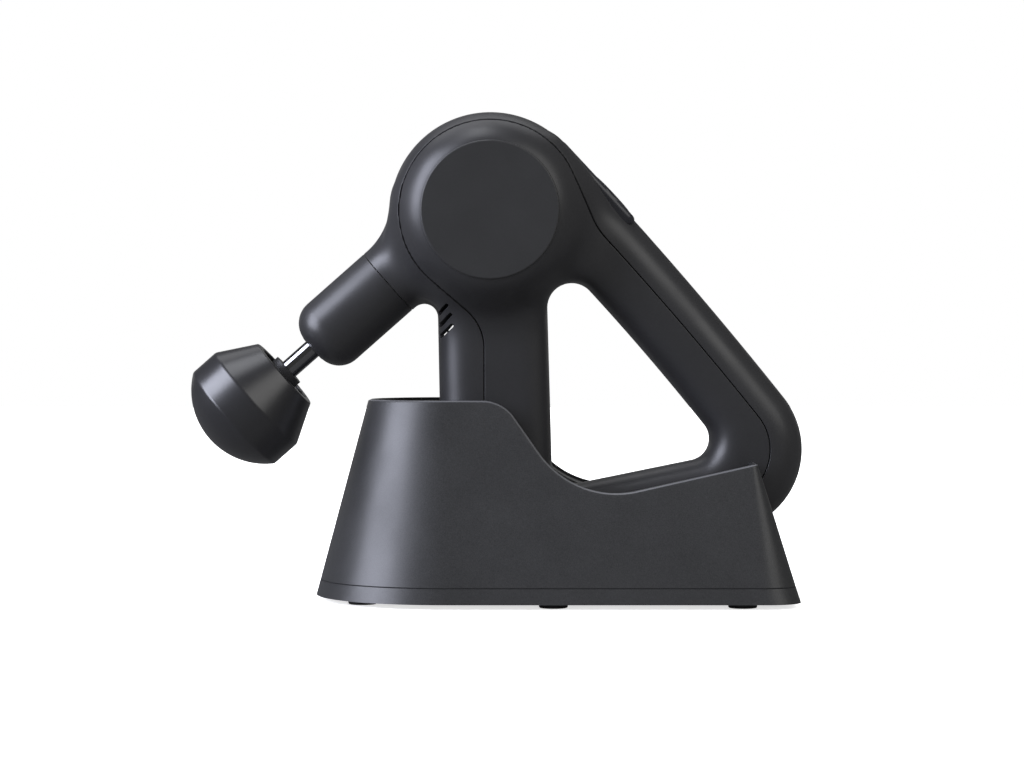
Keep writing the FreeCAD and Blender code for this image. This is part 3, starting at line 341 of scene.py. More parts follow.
# ---------------------------------------------------------------- mesh building
def surface_net(field, low, high, step):
    """Quad mesh of the surface where the field changes sign inside a box."""
    axes = [np.arange(a, b + step, step) for a, b in zip(low, high)]
    grid = np.stack(np.meshgrid(*axes, indexing="ij"), -1)
    value = field(grid.reshape(-1, 3)).reshape(grid.shape[:3])
    cells = [n - 1 for n in value.shape]
    total = np.zeros(cells + [3])
    count = np.zeros(cells)
    crossings = []
    for axis in range(3):
        first = np.moveaxis(value, axis, 0)[:-1]
        second = np.moveaxis(value, axis, 0)[1:]
        crossing = (first < 0) != (second < 0)
        share = np.where(crossing, first / np.where(crossing, first - second, 1), 0)
        spot = np.moveaxis(grid, axis, 0)[:-1].copy()
        spot[..., axis] += share * step
        spot[~crossing] = 0
        crossings.append((crossing, first < 0))
        crossing = np.moveaxis(crossing, 0, axis)
        spot = np.moveaxis(spot, 0, axis)
        others = [k for k in range(3) if k != axis]
        for da in (0, 1):
            for db in (0, 1):
                window = [slice(0, cells[k]) for k in range(3)]
                window[others[0]] = slice(da, da + cells[others[0]])
                window[others[1]] = slice(db, db + cells[others[1]])
                total += spot[tuple(window)]
                count += crossing[tuple(window)]
    used = count > 0
    index = np.full(cells, -1)
    index[used] = np.arange(used.sum())
    points = total[used] / count[used][:, None]
    quads = []
    for axis, (crossing, rising) in enumerate(crossings):
        b, c = (axis + 1) % 3, (axis + 2) % 3
        at = np.argwhere(np.moveaxis(crossing, 0, axis))
        out = np.moveaxis(rising, 0, axis)[tuple(at.T)]
        inside = ((at[:, b] > 0) & (at[:, b] < cells[b]) & (at[:, c] > 0) & (at[:, c] < cells[c]))
        at, out = at[inside], out[inside]
        corners = []
        for db, dc in ((-1, -1), (0, -1), (0, 0), (-1, 0)):
            cell = at.copy()
            cell[:, b] += db
            cell[:, c] += dc
            corners.append(index[tuple(cell.T)])
        quad = np.stack(corners, 1)
        quad[~out] = quad[~out][:, ::-1]
        quads.append(quad)
    return points, np.concatenate(quads)


def relaxed(points, quads, field, rounds=2):
    """Evener quads: each point moves to its neighbours' middle, on the surface."""
    pairs = np.concatenate([quads[:, [k, (k + 1) % 4]] for k in range(4)])
    for _ in range(rounds):
        total = np.zeros_like(points)
        count = np.zeros(len(points))
        for a, b in (pairs.T, pairs[:, ::-1].T):
            for axis in range(3):
                total[:, axis] += np.bincount(a, points[b, axis], len(points))
            count += np.bincount(a, minlength=len(points))
        middle = total / count[:, None]
        points = settle(points + 0.5 * (middle - points), field, 1)
    return points


def triangles(points, quads):
    """Quads split along their shorter diagonals."""
    first = np.linalg.norm(points[quads[:, 0]] - points[quads[:, 2]], axis=1)
    second = np.linalg.norm(points[quads[:, 1]] - points[quads[:, 3]], axis=1)
    a = quads[first <= second]
    b = quads[first > second]
    return np.concatenate([a[:, [0, 1, 2]], a[:, [0, 2, 3]], b[:, [0, 1, 3]], b[:, [1, 2, 3]]])


def clipped(points, faces, level, snap, surface=None):
    """The part of a triangle mesh where level <= 0, its new edge pulled onto level 0."""
    value = level(points)
    value = np.where(np.abs(value) < snap, 0, value)
    inside = value <= 0
    count = inside[faces].sum(1)
    whole = faces[count == 3]
    cut_faces = faces[(count == 1) | (count == 2)]
    lone = count[(count == 1) | (count == 2)] == 1
    match = inside[cut_faces] == lone[:, None]
    first = match.argmax(1)
    order = (first[:, None] + np.arange(3)) % 3
    tri = np.take_along_axis(cut_faces, order, 1)
    ends = np.concatenate([tri[:, [0, 1]], tri[:, [0, 2]]])
    ends = np.where(inside[ends[:, 0]][:, None], ends, ends[:, ::-1])
    keys, where = np.unique(ends, axis=0, return_inverse=True)
    where = where.reshape(-1)
    share = value[keys[:, 0]] / (value[keys[:, 0]] - value[keys[:, 1]])
    fresh = points[keys[:, 0]] + share[:, None] * (points[keys[:, 1]] - points[keys[:, 0]])
    ids = np.where(share < 1e-9, keys[:, 0], len(points) + np.arange(len(keys)))[where]
    to_b, to_c = ids[:len(tri)], ids[len(tri):]
    one = np.stack([tri[lone, 0], to_b[lone], to_c[lone]], 1)
    pair = ~lone
    two = np.concatenate([np.stack([to_b[pair], tri[pair, 1], tri[pair, 2]], 1),
                          np.stack([to_b[pair], tri[pair, 2], to_c[pair]], 1)])
    faces = np.concatenate([whole, one, two])
    points = np.concatenate([points, fresh])
    value = np.concatenate([value, np.zeros(len(fresh))])
    a, b, c = faces.T
    faces = faces[(a != b) & (b != c) & (c != a)]
    used, faces = np.unique(faces, return_inverse=True)
    faces = faces.reshape(-1, 3)
    points, value = points[used], value[used]
    edge = value == 0
    moved = points[edge]
    for _ in range(3):
        slope = gradient(level, moved)
        moved = moved - slope * (level(moved) / np.maximum((slope ** 2).sum(1), 0.2))[:, None]
        if surface is not None:
            moved = settle(moved, surface, 1)
    points[edge] = moved
    return points, faces


def free_edges(points, faces):
    """Edges with one face, apart from those on the mirror plane."""
    edges = np.concatenate([faces[:, [0, 1]], faces[:, [1, 2]], faces[:, [2, 0]]])
    _, index, counts = np.unique(np.sort(edges, 1), axis=0, return_index=True, return_counts=True)
    edges = edges[index[counts == 1]]
    mirror = (np.abs(points[edges][:, :, 1]) < ON_PLANE).all(1)
    return edges[~mirror]


def thickened(points, normals, faces, lip, depth):
    """Closed shell: the skin, a rounded lip round each free edge, and its back.

    Returns points, normals and a list of face arrays.
    """
    edges = free_edges(points, faces)
    along = points[edges[:, 1]] - points[edges[:, 0]]
    outward = np.cross(along, unit(normals[edges].sum(1)))
    side = np.zeros_like(points)
    for end in (0, 1):
        np.add.at(side, edges[:, end], outward)
    rim = np.unique(edges)
    place = np.full(len(points), -1)
    place[rim] = np.arange(len(rim))
    at, up = points[rim], normals[rim]
    out = side[rim] - (side[rim] * up).sum(1)[:, None] * up
    out[np.abs(at[:, 1]) < ON_PLANE, 1] = 0
    out = unit(out)
    rows, row_normals = [], []
    for turn in np.radians([30, 60, 90]):
        rows.append(at + lip * (math.sin(turn) * out - (1 - math.cos(turn)) * up))
        row_normals.append(math.cos(turn) * up + math.sin(turn) * out)
    rows.append(at + lip * out - depth * up)
    row_normals.append(out)
    back = points - depth * normals
    count, ring = len(points), len(rim)
    all_points = np.concatenate([points] + rows + [back])
    all_normals = np.concatenate([normals] + row_normals + [-normals])
    last = count + ring * len(rows)
    a, b = place[edges[:, 0]], place[edges[:, 1]]
    levels = [(edges[:, 0], edges[:, 1])]
    levels += [(count + ring * k + a, count + ring * k + b) for k in range(len(rows))]
    levels.append((last + edges[:, 0], last + edges[:, 1]))
    strips = []
    for (a0, b0), (a1, b1) in zip(levels, levels[1:]):
        strips.append(np.stack([b0, a0, a1, b1], 1))
    return all_points, all_normals, [faces, np.concatenate(strips), faces[:, ::-1] + last]


def mirrored(points, normals, groups, weld):
    """The same shape on the other side of the XZ plane, joined to the first if weld."""
    flip = np.array((1, -1, 1))
    turned = [faces[:, ::-1] for faces in groups]
    if not weld:
        return points * flip, normals * flip, turned
    on_plane = np.abs(points[:, 1]) < ON_PLANE
    fresh = np.cumsum(~on_plane) - 1 + len(points)
    ids = np.where(on_plane, np.arange(len(points)), fresh)
    both = np.concatenate([points, (points * flip)[~on_plane]])
    both_normals = np.concatenate([normals, (normals * flip)[~on_plane]])
    return both, both_normals, groups + [ids[faces] for faces in turned]


def make_mesh(name, points, normals, groups, material):
    """Blender object from millimetre points, with the given smooth normals."""
    mesh = bpy.data.meshes.new(name)
    faces = [face for group in groups for face in group.tolist()]
    mesh.from_pydata((points * MM).tolist(), [], faces)
    mesh.shade_smooth()
    if normals is not None:
        mesh.normals_split_custom_set_from_vertices(unit(normals).tolist())
    mesh.materials.append(material)
    piece = bpy.data.objects.new(name, mesh)
    bpy.context.scene.collection.objects.link(piece)
    return piece


def fit(piece, body, slot, *nodes):
    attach(piece, body)
    if nodes:
        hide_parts(*nodes)


def rounded_profile(corners, closed, turn_step=12.0):
    """Points and outward normals of a path whose corners (a, b, radius) are rounded.

    The outside is on the left of the path.
    """
    count = len(corners)
    points, normals = [], []
    for i, (a, b, radius) in enumerate(corners):
        here = np.array((a, b))
        before = np.array(corners[i - 1][:2]) if closed or i > 0 else None
        after = np.array(corners[(i + 1) % count][:2]) if closed or i < count - 1 else None
        if before is None or after is None:
            run = unit(after - here if before is None else here - before)
            points.append(here)
            normals.append(np.array((-run[1], run[0])))
            continue
        run_in, run_out = unit(here - before), unit(after - here)
        turn = math.atan2(run_in[0] * run_out[1] - run_in[1] * run_out[0], run_in @ run_out)
        if radius == 0 or abs(turn) < 1e-6:
            run = unit(run_in + run_out)
            points.append(here)
            normals.append(np.array((-run[1], run[0])))
            continue
        reach = radius * math.tan(abs(turn) / 2)
        bend = math.copysign(1, turn)
        start = here - reach * run_in
        centre = start + bend * radius * np.array((-run_in[1], run_in[0]))
        steps = max(2, int(math.ceil(abs(math.degrees(turn)) / turn_step)))
        for k in range(steps + 1):
            angle = turn * k / steps
            run = np.array((run_in[0] * math.cos(angle) - run_in[1] * math.sin(angle),
                            run_in[0] * math.sin(angle) + run_in[1] * math.cos(angle)))
            normal = np.array((-run[1], run[0]))
            points.append(centre - bend * radius * normal)
            normals.append(normal)
    return np.array(points), np.array(normals)


def turned(profile, closed, origin, axis, segments=128):
    """Surface of revolution of (along, radius) points about an axis."""
    path, path_normals = profile
    axis = unit(np.array(axis, float))
    first = unit(np.cross(axis, (0, 1, 0) if abs(axis[1]) < 0.9 else (0, 0, 1)))
    second = np.cross(axis, first)
    angles = np.linspace(0, 2 * math.pi, segments, endpoint=False)
    spokes = np.cos(angles)[:, None] * first + np.sin(angles)[:, None] * second
    points = (np.array(origin) + path[:, None, :1] * axis + path[:, None, 1:] * spokes)
    normals = path_normals[:, None, :1] * axis + path_normals[:, None, 1:] * spokes
    rows = len(path) if closed else len(path) - 1
    i = np.repeat(np.arange(rows), segments)
    j = np.tile(np.arange(segments), rows)
    i2, j2 = (i + 1) % len(path), (j + 1) % segments
    quads = np.stack([i * segments + j, i * segments + j2, i2 * segments + j2,
                      i2 * segments + j], 1)
    return points.reshape(-1, 3), normals.reshape(-1, 3), [quads]


# --------------------------------------------------------------------- finishes
GRAIN_DEPTH = 0.00003       # in metres, as the shader takes it
TONE_SPREAD = 0.12          # how far the grain's colour strays either way


def new_material(name):
    material = bpy.data.materials.new(name)
    material.use_nodes = True
    nodes = material.node_tree.nodes
    return material, nodes, material.node_tree.links, nodes["Principled BSDF"]


def noise(nodes, links, scale, detail=3.0, rough=0.55):
    coords = nodes.new("ShaderNodeTexCoord")
    texture = nodes.new("ShaderNodeTexNoise")
    texture.inputs["Scale"].default_value = scale
    texture.inputs["Detail"].default_value = detail
    texture.inputs["Roughness"].default_value = rough
    links.new(coords.outputs["Object"], texture.inputs["Vector"])
    return texture.outputs["Fac"]


def ranged(nodes, links, source, low, high, from_low=0.3, from_high=0.7):
    mapper = nodes.new("ShaderNodeMapRange")
    mapper.inputs["From Min"].default_value = from_low
    mapper.inputs["From Max"].default_value = from_high
    mapper.inputs["To Min"].default_value = low
    mapper.inputs["To Max"].default_value = high
    links.new(source, mapper.inputs["Value"])
    return mapper.outputs["Result"]


def plain(name, colour, rough, metal=0.0, grain=3200.0, bump=0.1, patch=0.12, speck=0.0,
          specular=0.5):
    """Finish with fine grain, slow patches in its gloss and a slight speckle."""
    material, nodes, links, shader = new_material(name)
    shader.inputs["Metallic"].default_value = metal
    shader.inputs["Specular IOR Level"].default_value = specular
    slow = noise(nodes, links, 45.0)
    fine = noise(nodes, links, grain, 2.0, 0.6)
    gloss = ranged(nodes, links, slow, rough * (1 - patch), rough * (1 + patch))
    links.new(gloss, shader.inputs["Roughness"])
    mix = nodes.new("ShaderNodeMix")
    mix.data_type = "RGBA"
    dark = [c * (1 - TONE_SPREAD - speck) for c in colour] + [1]
    light = [min(1.0, c * (1 + TONE_SPREAD + 2.2 * speck)) for c in colour] + [1]
    mix.inputs["A"].default_value = dark
    mix.inputs["B"].default_value = light
    links.new(ranged(nodes, links, fine, 0, 1), mix.inputs["Factor"])
    links.new(mix.outputs["Result"], shader.inputs["Base Color"])
    if bump:
        bumps = nodes.new("ShaderNodeBump")
        bumps.inputs["Strength"].default_value = bump
        bumps.inputs["Distance"].default_value = GRAIN_DEPTH
        links.new(fine, bumps.inputs["Height"])
        links.new(bumps.outputs["Normal"], shader.inputs["Normal"])
    return material


FINISHES = {
    "body_plastic": dict(colour=(0.0185, 0.0185, 0.0200), rough=0.40, bump=0.1),
    "cap_plastic": dict(colour=(0.0190, 0.0192, 0.0200), rough=0.42, bump=0.1),
    "panel_plastic": dict(colour=(0.015, 0.0155, 0.019), rough=0.33, bump=0.06),
    "button_rubber": dict(colour=(0.012, 0.013, 0.020), rough=0.5, bump=0.1),
    "head_foam": dict(colour=(0.0125, 0.0125, 0.0140), rough=0.30, bump=0.08, grain=2200.0,
                      specular=0.7),
    "socket_plastic": dict(colour=(0.02, 0.02, 0.022), rough=0.45),
    "bright_steel": dict(colour=(0.30, 0.30, 0.31), rough=0.09, metal=1.0, bump=0.02),
    "plain_steel": dict(colour=(0.42, 0.43, 0.44), rough=0.32, metal=1.0),
    "cast_alloy": dict(colour=(0.5, 0.5, 0.51), rough=0.48, metal=1.0, bump=0.3, grain=1500.0),
    "lamination": dict(colour=(0.3, 0.3, 0.32), rough=0.4, metal=1.0, bump=0.2),
    "copper": dict(colour=(0.75, 0.33, 0.17), rough=0.3, metal=1.0, bump=0.4, grain=1200.0),
    "board": dict(colour=(0.012, 0.09, 0.04), rough=0.35, bump=0.1, speck=0.2),
    "cell_wrap": dict(colour=(0.02, 0.022, 0.026), rough=0.28, bump=0.05),
    "nickel": dict(colour=(0.62, 0.6, 0.55), rough=0.25, metal=1.0),
    "lead_jacket": dict(colour=(0.16, 0.012, 0.012), rough=0.4),
    "inner_plastic": dict(colour=(0.05, 0.05, 0.052), rough=0.55, bump=0.2),
    "soft_rubber": dict(colour=(0.012, 0.012, 0.013), rough=0.75, bump=0.25),
    "screen_glass": dict(colour=(0.006, 0.006, 0.008), rough=0.06, bump=0.0),
    "screen": dict(colour=(0.01, 0.012, 0.018), rough=0.3, bump=0.02),
    "dock_plastic": dict(colour=(0.0175, 0.0178, 0.0187), rough=0.40, bump=0.3, speck=0.2,
                         grain=2600.0),
    "black_screw": dict(colour=(0.03, 0.03, 0.032), rough=0.35, specular=0.8),
    # painted highlight: a lighter colour for the strip along the dock's upper edge, in place of the
    # light its bevel catches
    "highlight_paint": dict(colour=(0.085, 0.086, 0.092), rough=0.32, bump=0.05),
    "ferrite": dict(colour=(0.03, 0.03, 0.031), rough=0.6, bump=0.3),
    "weight_iron": dict(colour=(0.22, 0.21, 0.2), rough=0.55, metal=1.0, bump=0.4),
}
MATERIALS = {name: plain(name + "_finish", **values) for name, values in FINISHES.items()}
for node in frame["nodes"].values():
    for place in node.material_slots:
        place.material = MATERIALS[place.material.name.split(".")[0]]
for place in frame["nodes"]["cover_screws"].material_slots:
    place.material = MATERIALS["black_screw"]


# ------------------------------------------------------------- the gun's shells
def vent_distance(x, z):
    """Distance to the middle line of the nearest vent slot."""
    best = np.full(x.shape, FAR)
    for (x1, z1), (x2, z2) in VENTS:
        length = math.hypot(x2 - x1, z2 - z1)
        ux, uz = (x2 - x1) / length, (z2 - z1) / length
        along = np.clip((x - x1) * ux + (z - z1) * uz, 0, length)
        best = np.minimum(best, np.hypot(x - x1 - along * ux, z - z1 - along * uz))
    return best


def pocket_distance(points):
    """Distance to the prism under the control panel, in its own directions."""
    x, y, z = points.T
    along = x * math.cos(PANEL_TILT) - z * math.sin(PANEL_TILT)
    up = x * math.sin(PANEL_TILT) + z * math.cos(PANEL_TILT)
    middle = sum(PANEL_ENDS) / 2
    half = (PANEL_ENDS[1] - PANEL_ENDS[0]) / 2 - PANEL_SETTLE
    sides = np.maximum(np.abs(along - middle) - half, np.abs(y) - PANEL_HALF + PANEL_SETTLE)
    return np.maximum(sides, PANEL_FLOOR - up)


def seam_distance(points):
    return outline_distance(points[:, 0], points[:, 2], COVER_SEAM)


def cap_seat(points):
    near = np.hypot(points[:, 0] - HEAD[0], points[:, 2] - HEAD[1])
    return CAP_R + 0.12 - near


def arm_end(points):
    """Distance past the arm's end plane, clear of the leg."""
    s, side = arm_coordinates(points[:, 0], points[:, 2])
    return np.minimum(s - ARM_SEAM + ARM_GAP, side + ARM_R + 2.5)


def vent_rim(points):
    inside = VENT_R - vent_distance(points[:, 0], points[:, 2])
    return np.where(points[:, 1] < FLANK_ONLY, inside, OUTSIDE)


def screw_wells(points):
    """Wells in the right cover for the screws that hold the two covers together."""
    near = np.full(len(points), FAR)
    for x, z in COVER_SCREWS:
        near = np.minimum(near, np.hypot(points[:, 0] - x, points[:, 2] - z))
    return np.where(points[:, 1] < FLANK_ONLY, SCREW_WELL_R - near, OUTSIDE)


def gun_skin():
    points, quads = surface_net(gun_distance, SKIN_LOW, SKIN_HIGH, NET_STEP)
    points = settle(points, gun_distance)
    points = relaxed(points, quads, gun_distance)
    return points, triangles(points, quads)


def cut_skin(skin, fields, lip):
    points, faces = skin
    for field in fields:
        points, faces = clipped(points, faces, lambda p, f=field: f(p) + lip, SNAP, gun_distance)
    return points, faces


def shell(skin, fields, join):
    """Skin cut by the fields and thickened; join makes it one half of a mirrored piece."""
    points, faces = cut_skin(skin, fields, SEAM_LIP)
    if join:
        points, faces = clipped(points, faces, lambda p: p[:, 1], SNAP, None)
        points[np.abs(points[:, 1]) < 1e-4, 1] = 0
    normals = unit(gradient(gun_distance, points, NORMAL_REACH))
    normals[points[:, 1] == 0, 1] = 0
    return thickened(points, unit(normals), faces, SEAM_LIP, WALL)


skin = gun_skin()
frame_fields = [lambda p: SEAM_GAP - seam_distance(p), arm_end, vent_rim,
                lambda p: -pocket_distance(p)]
cover_fields = [lambda p: SEAM_GAP + seam_distance(p), cap_seat, lambda p: p[:, 1] + 0.1]
frame_half = shell(skin, frame_fields, True)
spine = make_mesh("spine_skin", *mirrored(*frame_half, weld=True), MATERIALS["body_plastic"])
fit(spine, "gun", "body_plastic", "spine_frame")
cover = shell(skin, cover_fields, False)
left = make_mesh("left_cover_skin", *cover, MATERIALS["body_plastic"])
fit(left, "gun", "body_plastic", "left_cover")
cover = shell(skin, cover_fields + [screw_wells], False)
right = make_mesh("right_cover_skin", *mirrored(*cover, weld=False), MATERIALS["body_plastic"])
fit(right, "gun", "body_plastic", "right_cover")


def plain_box(name, low, high, material):
    corners = np.array([[(low, high)[i][0], (low, high)[j][1], (low, high)[k][2]]
                        for i in (0, 1) for j in (0, 1) for k in (0, 1)], float)
    sides = np.array([(0, 1, 3, 2), (4, 6, 7, 5), (0, 4, 5, 1), (2, 3, 7, 6), (0, 2, 6, 4),
                      (1, 5, 7, 3)])
    piece = make_mesh(name, corners, None, [sides], material)
    piece.data.shade_flat()
    return piece


web = plain_box("vent_web", *VENT_WEB, MATERIALS["body_plastic"])
fit(web, "gun", "body_plastic", "spine_frame")
rib = plain_box("seam_rib", *SEAM_RIB, MATERIALS["body_plastic"])
fit(rib, "gun", "body_plastic", "spine_frame")

# ------------------------------------------------------------ caps, nose and head
ARM_ORIGIN = (ARM_START[0], 0.0, ARM_START[1])
ARM_DIR = (ARM_U[0], 0.0, ARM_U[1])

for side, label in ((-1, "left"), (1, "right")):
    cap_path = [(HEAD_HALF - CAP_THICK, 0, 0), (HEAD_HALF - CAP_THICK, CAP_EDGE, 0.2),
                (HEAD_HALF, CAP_EDGE, 0.75), (HEAD_HALF, 0, 0)]
    disc = turned(rounded_profile(cap_path, False), False, (HEAD[0], 0, HEAD[1]), (0, side, 0), 160)
    piece = make_mesh(label + "_disc_skin", *disc, MATERIALS["cap_plastic"])
    fit(piece, "gun", "cap_plastic", label + "_disc_cap")

nose_path = [(ARM_SEAM + ARM_GAP, ARM_R - WALL, 0.3), (ARM_SEAM + ARM_GAP, ARM_R, 0.3),
             (ARM_END, ARM_R, NOSE_ROUND - 0.3), (ARM_END, NOSE_BORE, 0.5),
             (ARM_END - NOSE_FACE, NOSE_BORE, 0.3),
             (ARM_END - NOSE_FACE, ARM_R - WALL, NOSE_ROUND - 3.2)]
nose = turned(rounded_profile(nose_path, True, 6.0), True, ARM_ORIGIN, ARM_DIR, 160)
piece = make_mesh("nose_skin", *nose, MATERIALS["body_plastic"])
fit(piece, "gun", "body_plastic", "nose_sleeve")


def head_profile():
    """The massage head's section: hollow back, cone, band and domed face."""
    radius = (HEAD_MAX_R ** 2 + (HEAD_TIP - HEAD_DOME) ** 2) / (2 * (HEAD_TIP - HEAD_DOME))
    centre = HEAD_TIP - radius
    reach = math.sqrt((radius - DOME_EDGE) ** 2 - (HEAD_MAX_R - DOME_EDGE) ** 2)
    start = math.atan2(HEAD_MAX_R - DOME_EDGE, reach)
    back = [(HEAD_BORE_END, 0, 0), (HEAD_BORE_END, HEAD_BORE_R, 0.2),
            (HEAD_BACK + 1.6, HEAD_BORE_R, 0.2),
            (HEAD_BACK + 1.6, HEAD_HOLLOW_R, 0.5), (HEAD_BACK, HEAD_HOLLOW_R, 0.6),
            (HEAD_BACK, HEAD_BACK_R, 1.1), (HEAD_WIDE, HEAD_MAX_R, 3.0),
            (centre + reach, HEAD_MAX_R, 0)]
    path, normals = rounded_profile(back, False, 8.0)
    path, normals = list(path[:-1]), list(normals[:-1])
    for k in range(9):
        angle = math.pi / 2 + (start - math.pi / 2) * k / 8
        way = np.array((math.cos(angle), math.sin(angle)))
        path.append(np.array((centre + reach, HEAD_MAX_R - DOME_EDGE)) + DOME_EDGE * way)
        normals.append(way)
    for k in range(1, 31):
        angle = start * (1 - k / 30)
        way = np.array((math.cos(angle), math.sin(angle)))
        path.append(np.array((centre, 0)) + radius * way)
        normals.append(way)
    return np.array(path), np.array(normals)


head = turned(head_profile(), False, ARM_ORIGIN, ARM_DIR, 192)
piece = make_mesh("massage_head_skin", *head, MATERIALS["head_foam"])
fit(piece, "massage_head_body", "head_foam", "massage_head")


# --------------------------------------------------------------- control panel
def panel_distance(points):
    """Distance to the panel's shell, in (along, across, out) directions."""
    along, across, out = points.T
    middle = sum(PANEL_ENDS) / 2
    half = (PANEL_ENDS[1] - PANEL_ENDS[0]) / 2
    dx = np.abs(along - middle) - half + PANEL_CORNER
    dy = np.abs(across) - PANEL_HALF + PANEL_CORNER
    plan = np.hypot(np.maximum(dx, 0), np.maximum(dy, 0))
    plan = plan + np.minimum(np.maximum(dx, dy), 0) - PANEL_CORNER
    body = rounded_edge(plan, out - PANEL_TOP, 2.4)
    from_pod = np.hypot(along - POD_T, across)
    ring = rounded_edge(np.abs(from_pod - POD_R - 0.55) - 0.5, out - PANEL_TOP - 0.35, 0.3)
    ring = np.maximum(ring, PANEL_TOP - 2 - out)
    body = smooth_min(body, ring, 0.6)
    window = np.maximum(np.abs(along - WINDOW[0]) - WINDOW[1], np.abs(across) - WINDOW[2])
    body = np.maximum(body, -np.maximum(window, PANEL_TOP - 3 - out))
    body = np.maximum(body, POD_R - from_pod)
    room = np.maximum(np.abs(along - middle) - half + 2, np.abs(across) - PANEL_HALF + 2.4)
    body = np.maximum(body, -np.maximum(room, out - PANEL_TOP + 2.6))
    return np.maximum(body, PANEL_DEEP - out)


def panel_skin():
    low = (PANEL_ENDS[0] - 1, -PANEL_HALF - 1, PANEL_DEEP - 1)
    high = (PANEL_ENDS[1] + 1, PANEL_HALF + 1, PANEL_TOP + 1.5)
    points, quads = surface_net(panel_distance, low, high, PANEL_STEP)
    points = settle(points, panel_distance)
    normals = unit(gradient(panel_distance, points))
    turn = np.array([(math.cos(PANEL_TILT), 0, -math.sin(PANEL_TILT)), (0, 1, 0),
                     (math.sin(PANEL_TILT), 0, math.cos(PANEL_TILT))])
    return points @ turn, normals @ turn, [quads]


piece = make_mesh("control_panel_skin", *panel_skin(), MATERIALS["panel_plastic"])
fit(piece, "gun", "panel_plastic", "control_panel")

# ----------------------------------------------------------------------- dock
valley_far = (150.0, RIM_VALLEY[1] + RIM_RISE * (150.0 - RIM_VALLEY[0]))
RIM = [(-100.0, -40.0, 0.0), (150.0, -40.0, 0.0), valley_far + (0.0,),
       corner_circle(RIM_BEND, RIM_VALLEY, valley_far, -1),
       corner_circle((-100.0, RIM_HIGH), RIM_BEND, RIM_VALLEY, 1), (-100.0, RIM_HIGH, 0.0)]


def rim_height(x, inset):
    """Height of the rim's curve, moved inward by inset, above each x."""
    z = np.full(np.shape(x), 60.0)
    for _ in range(30):
        gap = outline_distance(x, z, RIM) + inset
        z = z - gap
    return z


def dock_plan(u, z, inset):
    """Plan point of each column u in 0..4: round end, side, corner, right end."""
    rise = z - DOCK_SEAM
    half = DOCK_HALF - DOCK_TAPER * rise - inset
    right = DOCK_RIGHT - DOCK_END_TAPER * rise - inset
    corner = DOCK_CORNER[0] + (DOCK_CORNER[1] - DOCK_CORNER[0]) * rise / (DOCK_TOP - DOCK_SEAM)
    corner = np.maximum(corner - inset, 1.0)
    turn = np.clip(u, 0, 1) * math.pi / 2
    x = DOCK_LEFT - half * np.cos(turn)
    y = -half * np.sin(turn)
    x = np.where(u > 1, DOCK_LEFT + (right - corner - DOCK_LEFT) * np.clip(u - 1, 0, 1), x)
    bend = np.clip(u - 2, 0, 1) * math.pi / 2
    x = np.where(u > 2, right - corner + corner * np.sin(bend), x)
    y = np.where(u > 2, -half + corner * (1 - np.cos(bend)), y)
    y = np.where(u > 3, (-half + corner) * (1 - np.clip(u - 3, 0, 1)), y)
    return x, y


def dock_columns():
    return np.concatenate([np.linspace(0, 1, 45)[:-1], np.linspace(1, 2, 121)[:-1],
                           np.linspace(2, 3, 13)[:-1], np.linspace(3, 4, 31)])


def dock_row(u, inset, drop):
    """A row of points at an inset from the wall and a drop below the rim."""
    z = np.full(u.shape, 70.0)
    for _ in range(14):
        x, y = dock_plan(u, z, inset)
        z = rim_height(x, drop)
    return np.stack([x, y, z], 1)


def dock_skin():
    """Half of the dock's outer surface: wall, bevelled rim, inner step and deck."""
    u = dock_columns()
    bottom = DOCK_SEAM + 0.35
    edge = dock_row(u, 0, RIM_ROUND)
    rows = []
    for share in np.linspace(0, 1, 22):
        z = bottom + (edge[:, 2] - bottom) * share
        rows.append(np.stack([*dock_plan(u, z, 0), z], 1))
    for inset, drop in RIM_EDGE:
        rows.append(dock_row(u, inset * RIM_ROUND, drop * RIM_ROUND))
    for turn in np.radians([0, 30, 60, 90]):
        rows.append(dock_row(u, RIM_WIDE - STEP_HIGH * (1 - math.sin(turn)),
                             STEP_HIGH * (1 - math.cos(turn))))
    rows.append(dock_row(u, RIM_WIDE, DECK_DROP - STEP_LOW))
    for turn in np.radians([30, 60, 90]):
        rows.append(dock_row(u, RIM_WIDE + STEP_LOW * (1 - math.cos(turn)),
                             DECK_DROP - STEP_LOW * (1 - math.sin(turn))))
    outer = dock_row(u, RIM_WIDE + STEP_LOW, DECK_DROP)
    for share in np.linspace(0, 1, 34)[1:]:
        row = outer.copy()
        row[:, 1] = outer[:, 1] * (1 - share)
        rows.append(row)
    return row_mesh(rows)


def row_mesh(rows):
    """Triangle mesh through rows of equal length."""
    grid = np.stack(rows)
    count, width = grid.shape[:2]
    i, j = np.meshgrid(np.arange(count - 1), np.arange(width - 1), indexing="ij")
    corner = (i * width + j).ravel()
    quads = np.stack([corner, corner + 1, corner + width + 1, corner + width], 1)
    points = grid.reshape(-1, 3)
    points[np.abs(points[:, 1]) < ON_PLANE, 1] = 0
    return welded(points, triangles(points, quads))


def welded(points, faces):
    """Points that coincide become one, and faces without area go."""
    _, first, where = np.unique(np.round(points, 4), axis=0, return_index=True,
                                return_inverse=True)
    faces = where.reshape(-1)[faces]
    a, b, c = faces.T
    return points[first], faces[(a != b) & (b != c) & (c != a)]


def mesh_normals(points, faces):
    """Normals averaged over the faces round each point, by corner angle."""
    total = np.zeros_like(points)
    corners = points[faces]
    flat = unit(np.cross(corners[:, 1] - corners[:, 0], corners[:, 2] - corners[:, 0]))
    for k in range(3):
        a = unit(corners[:, (k + 1) % 3] - corners[:, k])
        b = unit(corners[:, (k + 2) % 3] - corners[:, k])
        angle = np.arccos(np.clip((a * b).sum(1), -1, 1))
        for axis in range(3):
            total[:, axis] += np.bincount(faces[:, k], flat[:, axis] * angle, len(points))
    return unit(total)


